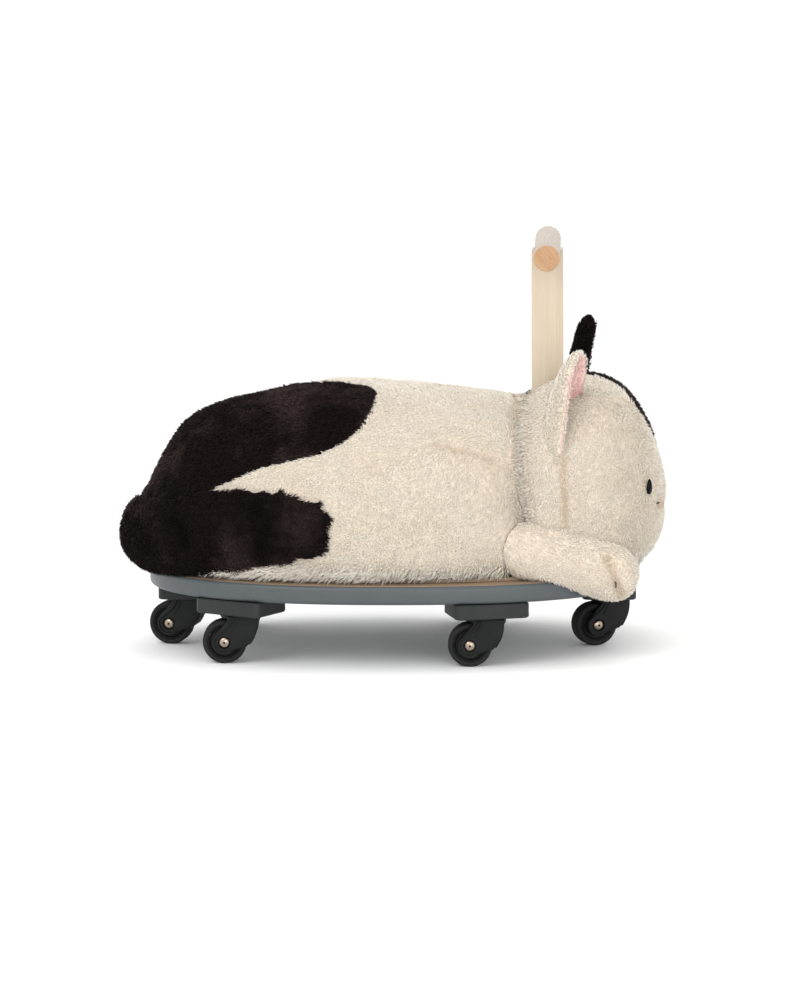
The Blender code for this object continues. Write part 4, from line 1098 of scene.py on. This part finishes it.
def pile_tree(tuft):
    """Scatters tufts over a skin by its pile share, and gives each its own cell of the bake sheet."""
    tree = bpy.data.node_groups.new("plush_pile", "GeometryNodeTree")
    tree.interface.new_socket(name="Skin", in_out="INPUT", socket_type="NodeSocketGeometry")
    for name in ("Density", "Length", "Width", "Stand", "Unrest", "Clump", "Patch", "Side", "End"):
        tree.interface.new_socket(name=name, in_out="INPUT", socket_type="NodeSocketFloat")
    tree.interface.new_socket(name="Seed", in_out="INPUT", socket_type="NodeSocketInt")
    tree.interface.new_socket(name="Pile", in_out="OUTPUT", socket_type="NodeSocketGeometry")
    given = put(tree, "NodeGroupInput").outputs
    density = maths(tree, "MULTIPLY", read_attribute(tree, "pile"), given["Density"])
    scatter = put(
        tree, "GeometryNodeDistributePointsOnFaces",
        {"Mesh": given["Skin"], "Density": density, "Seed": given["Seed"]}, distribute_method="RANDOM",
    ).outputs
    place = put(tree, "GeometryNodeInputPosition").outputs[0]
    wide = maths(tree, "MULTIPLY", given["Width"], random_value(tree, 0.75, 1.3, 13))
    long = maths(tree, "MULTIPLY", given["Length"], random_value(tree, 0.72, 1.2, 14))
    long = maths(tree, "MULTIPLY", long, read_attribute(tree, "reach"))
    source = put(tree, "GeometryNodeObjectInfo", {"Object": tuft}, transform_space="ORIGINAL")
    planted = put(
        tree, "GeometryNodeInstanceOnPoints",
        {"Points": scatter["Points"], "Instance": source.outputs["Geometry"],
         "Selection": chosen_tufts(tree, given, place),
         "Rotation": aimed_tufts(tree, given, place, scatter["Normal"]),
         "Scale": joined(tree, wide, wide, long)},
    ).outputs[0]
    toned = stored(tree, planted, "tone", random_value(tree, 0.0, 1.0, 15), "FLOAT", "INSTANCE")
    counted = put(tree, "GeometryNodeAttributeDomainSize", {"Geometry": toned}, component="INSTANCES")
    row = maths(tree, "CEIL", maths(tree, "SQRT", counted.outputs["Instance Count"]))
    index = put(tree, "GeometryNodeInputIndex").outputs[0]
    line = maths(tree, "FLOOR", maths(tree, "DIVIDE", index, row))
    cell = joined(tree, maths(tree, "MODULO", index, row), line, row)
    celled = stored(tree, toned, "cell", cell, "FLOAT_VECTOR", "INSTANCE")
    real = put(tree, "GeometryNodeRealizeInstances", {"Geometry": celled}).outputs[0]
    kept = split(tree, read_attribute(tree, "cell", "FLOAT_VECTOR"))
    sides = []
    for corner, share in ((kept["X"], "across"), (kept["Y"], "along")):
        inset = maths(tree, "MULTIPLY_ADD", read_attribute(tree, share), 0.7, 0.15)
        sides.append(maths(tree, "DIVIDE", maths(tree, "ADD", corner, inset), kept["Z"]))
    unwrapped = stored(tree, real, "OFBake", joined(tree, *sides), "FLOAT2", "CORNER")
    put(tree, "NodeGroupOutput", {"Pile": unwrapped})
    return tree


def grow_pile(name, skin, colour, seed, pile, **changes):
    """One piece of pile: a copy of the skin that the node tree turns into tufts."""
    piece = bpy.data.objects.new(name, skin.data.copy())
    scene.collection.objects.link(piece)
    modifier = piece.modifiers.new("pile", "NODES")
    modifier.node_group = pile_nodes
    values = {**pile, **changes, "Seed": seed}
    for item in pile_nodes.interface.items_tree:
        if item.in_out == "INPUT" and item.name in values:
            modifier[item.identifier] = values[item.name]
    settled(piece)
    for attribute in ("cell", "across", "pile", "comb", "dark", "reach"):
        if attribute in piece.data.attributes:
            piece.data.attributes.remove(piece.data.attributes[attribute])
    piece.data.materials.clear()
    piece.data.materials.append(kit[colour + "_tuft"])
    piece.data.shade_smooth()
    dress(piece, FUR_SLOTS[colour])


# Where the plush is dark, in millimetres: how far forward on the body at each degree round it, from the near
# side up over the back, and how far to the left on the head at each distance forward

BACK_PATCH_DEGREES = (20, 21.4, 25.8, 30.7, 32.1, 34.1, 38.8, 45, 54.9, 68.4, 77.2, 81.4, 85.8, 90, 100, 115,
                      130, 145, 158, 170)
BACK_PATCH_X = (-185, -174, -154, -119, -93, -66, -41, -25, -16, -11, -20, -40, -50, -70, -88, -100, -118,
                -150, -185, -200)
HEAD_PATCH_X = (155, 165, 175, 190, 210, 230, 243, 250, 258)
HEAD_PATCH_Y = (22, 14, -5, -6, -10, -18, -14, 0, 30)
HEAD_PATCH_LOW = 187


def back_patch(points):
    x, y, z = points.T
    around = np.degrees(np.arctan2(z - 120, -y)) % 360
    edge = np.interp(around, BACK_PATCH_DEGREES, BACK_PATCH_X)
    return np.minimum(edge - x, z - 104)


def head_patch(points):
    x, y, z = points.T
    edge = np.interp(x, HEAD_PATCH_X, HEAD_PATCH_Y)
    return np.minimum(np.minimum(y - edge, z - HEAD_PATCH_LOW), 252 - x)


def mirrored(lines):
    return [([(x, -y, z) for x, y, z in line], depth, reach) for line, depth, reach in lines]


FLANK_SEAM = [([(47, -125, 223), (80, -126, 213), (108, -125, 205)], 0.0012, 0.0030)]
MOUTH_SEAM = [([(257, -50, 145), (263, -32, 142), (268, -14, 139), (270, 0, 136), (268, 14, 139),
               (263, 32, 142), (257, 50, 145)], 0.0024, 0.0045)]
CHEEK_SEAM = [([(165, -118, 198), (166, -118, 168), (168, -116, 134)], 0.0022, 0.0030)]
TOE_SEAMS = [
    ([(206, -125, 101), (213, -130, 85), (217, -125, 75), (220, -118, 63)], 0.0042, 0.0045),
    ([(222, -100, 103), (236, -108, 92), (241, -110, 78), (238, -108, 64)], 0.0036, 0.0045),
]
TAIL_FOLDS = [
    ([(-232, -130, 150), (-222, -150, 130), (-221, -152, 110)], 0.0060, 0.008),
    ([(-130, -150, 160), (-120, -157, 135), (-128, -155, 108)], 0.0045, 0.010),
]


def ear_shell(side, word):
    """A cupped leaf of two layers, fur behind and lining in front, sewn to the head along its bent root."""
    rails, cup_depth, blunt, fur = EARS[side]
    outer, outer_top, inner, inner_top = (Vector((x, side * y, z)) / 1000 for x, y, z in rails)
    across = (inner - outer).normalized()
    rise = ((outer_top + inner_top) - (outer + inner)).normalized()
    front = across.cross(rise).normalized()
    if front.x < 0:
        front.negate()
    bm = bmesh.new()
    bmesh.ops.create_grid(bm, x_segments=12, y_segments=14, size=1)
    for vert in bm.verts:
        wide, high = vert.co.x, (vert.co.y + 1) / 2
        near_edge, far_edge = outer.lerp(outer_top, high), inner.lerp(inner_top, high)
        middle = (near_edge + far_edge) / 2
        place = middle + (far_edge - near_edge) / 2 * wide * ((1 - high**blunt) ** 0.5 + 0.04)
        cup = cup_depth * (1 - wide**2) * (1 - high**1.6) ** 0.6
        vert.co = place - front * (cup + 0.002)
    faced_out(bm)
    if sum(face.normal.dot(front) for face in bm.faces) < 0:
        bmesh.ops.reverse_faces(bm, faces=bm.faces)
    skin = add_piece(word + "_ear_shell", bm, ["pink_cloth", fur + "_cloth"])
    modify(skin, "SOLIDIFY", thickness=0.0052, offset=-1, material_offset=1, material_offset_rim=1)
    modify(skin, "SUBSURF", levels=2, render_levels=2)
    settled(skin)
    skin.data.shade_smooth()
    mesh = skin.data
    lined = np.zeros(len(mesh.vertices))
    for index in (0, 1):
        for face in mesh.polygons:
            toward_rim = face.normal.dot(across) < -0.2 and face.normal.dot(front) > 0.25
            if toward_rim and face.center.z < outer_top.z - 0.016:
                face.material_index = 0
            if face.material_index == index:
                lined[list(face.vertices)] = 1 - 2 * index
    points = read_points(mesh)
    above = np.empty(len(points))
    for index, point in enumerate(points):
        place, normal = head_tree.find_nearest(Vector(point))[:2]
        above[index] = (Vector(point) - place).dot(normal)
    combed = np.array(rise) + 0.6 * swirl(points, 40, (6, 7, 8))
    shade = np.clip(1 - above / 0.006, 0, 1) * (lined > 0)
    store(mesh, dark=lined, pile=above > -0.001, crease=shade, comb=combed, reach=np.ones(len(points)))
    dress(skin, FUR_SLOTS[fur], node=word + "_ear")
    return skin


def make_eye(side, word):
    """A glossy teardrop button, turned to face out of the round of the face."""
    low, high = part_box(word + "_eye")
    bm = bmesh.new()
    bmesh.ops.create_uvsphere(bm, u_segments=28, v_segments=18, radius=1)
    for vert in bm.verts:
        narrow = 1 - 0.42 * vert.co.z
        vert.co = (vert.co.x * 0.0022, vert.co.y * 0.0042 * narrow, vert.co.z * 0.0074)
    place = ((low.x + high.x) / 2 - 0.0006, (low.y + high.y) / 2, EYE_LEVEL - 0.001)
    bmesh.ops.transform(bm, matrix=turned_at(place, side * math.radians(29)), verts=bm.verts)
    dress(add_piece(word + "_eye_button", bm, ["eye_gloss"], 60), "eye_black", node=word + "_eye")


def add_stitch(bm, points, radius):
    """A round stitch through the points, with closed ends."""
    loops = []
    for index, point in enumerate(points):
        turn = heading(points, index).normalized().to_track_quat("Z", "Y").to_matrix().to_4x4()
        end = index in (0, len(points) - 1)
        ring = bmesh.ops.create_circle(
            bm, cap_ends=False, radius=radius * (0.5 if end else 1), segments=8,
            matrix=Matrix.Translation(point) @ turn,
        )["verts"]
        loops.append(list({edge for vert in ring for edge in vert.link_edges}))
    join_loops(bm, loops)


def stitch_run(name, lines, tree, radius, colour, stand, stitch=0.007, space=0.0022):
    """Separate stitches laid along lines on a surface."""
    bm = bmesh.new()
    for line in lines:
        path = [Vector(point) for point in laid_on(tree, line, 0.0012)]
        walked = [0]
        for here, there in zip(path, path[1:]):
            walked.append(walked[-1] + (there - here).length)
        start = 0
        while start + stitch * 0.6 < walked[-1]:
            end = min(start + stitch, walked[-1])
            inside = [point for point, far in zip(path, walked) if start <= far <= end]
            if len(inside) > 2:
                points = []
                for index, point in enumerate(inside):
                    share = index / (len(inside) - 1)
                    normal = tree.find_nearest(point)[1]
                    points.append(point + normal * (stand * math.sin(math.pi * share) + radius * 0.4))
                add_stitch(bm, points, radius)
            start = end + space
    dress(add_piece(name, faced_out(bm), [colour + "_thread"], 60), FUR_SLOTS[colour])


def make_face(muzzle):
    """Nose and mouth embroidered through the pile, on the round of the muzzle."""
    corners, lips, rows = [], [], []
    for side in (-1, 1):
        corners.append([(256, side * 52, 144.5), (260, side * 42, 144.6)])
        lips.append([(261, side * 39, 144), (264, side * 30, 142.5), (268, side * 14, 139), (270, 0, 136)])
    for step in range(4):
        level, half = 141 - step * 1.7, 6 - step * 1.6
        rows.append([(272, -half, level), (274, 0, level), (272, half, level)])
    stitch_run("mouth_corner_stitches", corners, muzzle, 0.0006, "dark", 0.0026, 0.0035, 0.002)
    stitch_run("mouth_stitches", lips, muzzle, 0.0006, "pink", 0.0014)
    stitch_run("nose_stitches", rows, muzzle, 0.0009, "pink", 0.0014, 0.012)


CREAM_PILE = {"Density": 570000.0, "Length": 0.0039, "Width": 0.00088, "Stand": 0.9, "Unrest": 0.45,
              "Clump": 1.3, "Patch": -1.0, "Side": 0.0, "End": 0.0}
DARK_PILE = {"Density": 470000.0, "Length": 0.0050, "Width": 0.0010, "Stand": 0.7, "Unrest": 0.3,
             "Clump": 2.5, "Patch": 1.0, "Side": 0.0, "End": 0.0}


def make_plush():
    body = plush_skin(
        "body_skin", "body_plush", 0.006, FLANK_SEAM + mirrored(FLANK_SEAM),
        ("base_board", "plush_base_panel", "head_plush", "handle_post", "tail_plush", *ARMS),
        ("tail_plush", *ARMS), neck_mate="head_plush",
    )
    paint_patches(body, back_patch, "cream", "dark")
    head = plush_skin(
        "head_skin", "head_plush", 0.0055, CHEEK_SEAM + mirrored(CHEEK_SEAM) + MOUTH_SEAM,
        ("body_plush", "handle_post", *ARMS, "plush_base_panel"), ARMS, comb=(-1, 0, -0.9),
        neck_mate="body_plush",
    )
    paint_patches(head, head_patch, "cream", "dark")
    tail = plush_skin(
        "tail_skin", "tail_plush", 0.005, TAIL_FOLDS, ("body_plush", "base_board"), comb=(1, -0.2, -0.3),
        lump=0.0018,
    )
    paint_patches(tail, 1.0, "dark")
    seed = 1
    for side, word in ((-1, "right"), (1, "left")):
        arm = plush_skin(
            word + "_arm_skin", word + "_arm", 0.0045, TOE_SEAMS if side < 0 else mirrored(TOE_SEAMS),
            ("body_plush", "head_plush", "base_board"), comb=(1, 0, -0.5), cap=0.0015, reach=0.82,
        )
        paint_patches(arm, -1.0, "cream")
        grow_pile(word + "_arm_pile", arm, "cream", seed, CREAM_PILE)
        for part, skin, end in (("rear_body", body, -1.0), ("front_body", body, 1.0), ("head", head, 0.0)):
            name = word + "_" + part + "_cream_pile"
            grow_pile(name, skin, "cream", seed + 10, CREAM_PILE, Side=float(side), End=end)
        knot = [[(214.5, side * 131, 82), (215, side * 131, 78), (216, side * 130, 75)]]
        stitch_run(word + "_toe_stitch", knot, face_tree(arm.data), 0.0007, "dark", 0.0024)
        ear = ear_shell(side, word)
        fur = EARS[side][-1]
        grow_pile(
            word + "_ear_pile", ear, fur, seed + 20, CREAM_PILE, Length=0.0038, Width=0.0009,
            Density=620000.0,
        )
        grow_pile(word + "_ear_lining_pile", ear, "pink", seed + 30, DARK_PILE, Length=0.0024, Width=0.0008)
        make_eye(side, word)
        seed += 1
    make_face(face_tree(head.data))
    for part, skin in (("body", body), ("head", head), ("tail", tail)):
        grow_pile(part + "_dark_pile", skin, "dark", seed, DARK_PILE)
        seed += 1


HIDDEN_FINISHES = {
    "king_pin": "zinc", "post_bolt_right": "zinc", "post_bolt_left": "zinc", "bearing": "black_steel",
    "plush_base_panel": "birch_ply", "bar_dowel": "beech_side",
}

make_camera()
kit = make_materials()
make_studio()
make_board()
make_handle()
make_casters()
head_tree = neighbour_trees(["head_plush"])[0]
tuft = tuft_source()
pile_nodes = pile_tree(tuft)
make_plush()
bpy.data.objects.remove(tuft, do_unlink=True)

for name, node in frame["nodes"].items():
    for ending, finish in HIDDEN_FINISHES.items():
        if name.endswith(ending):
            for slot in node.material_slots:
                slot.material = kit[finish]
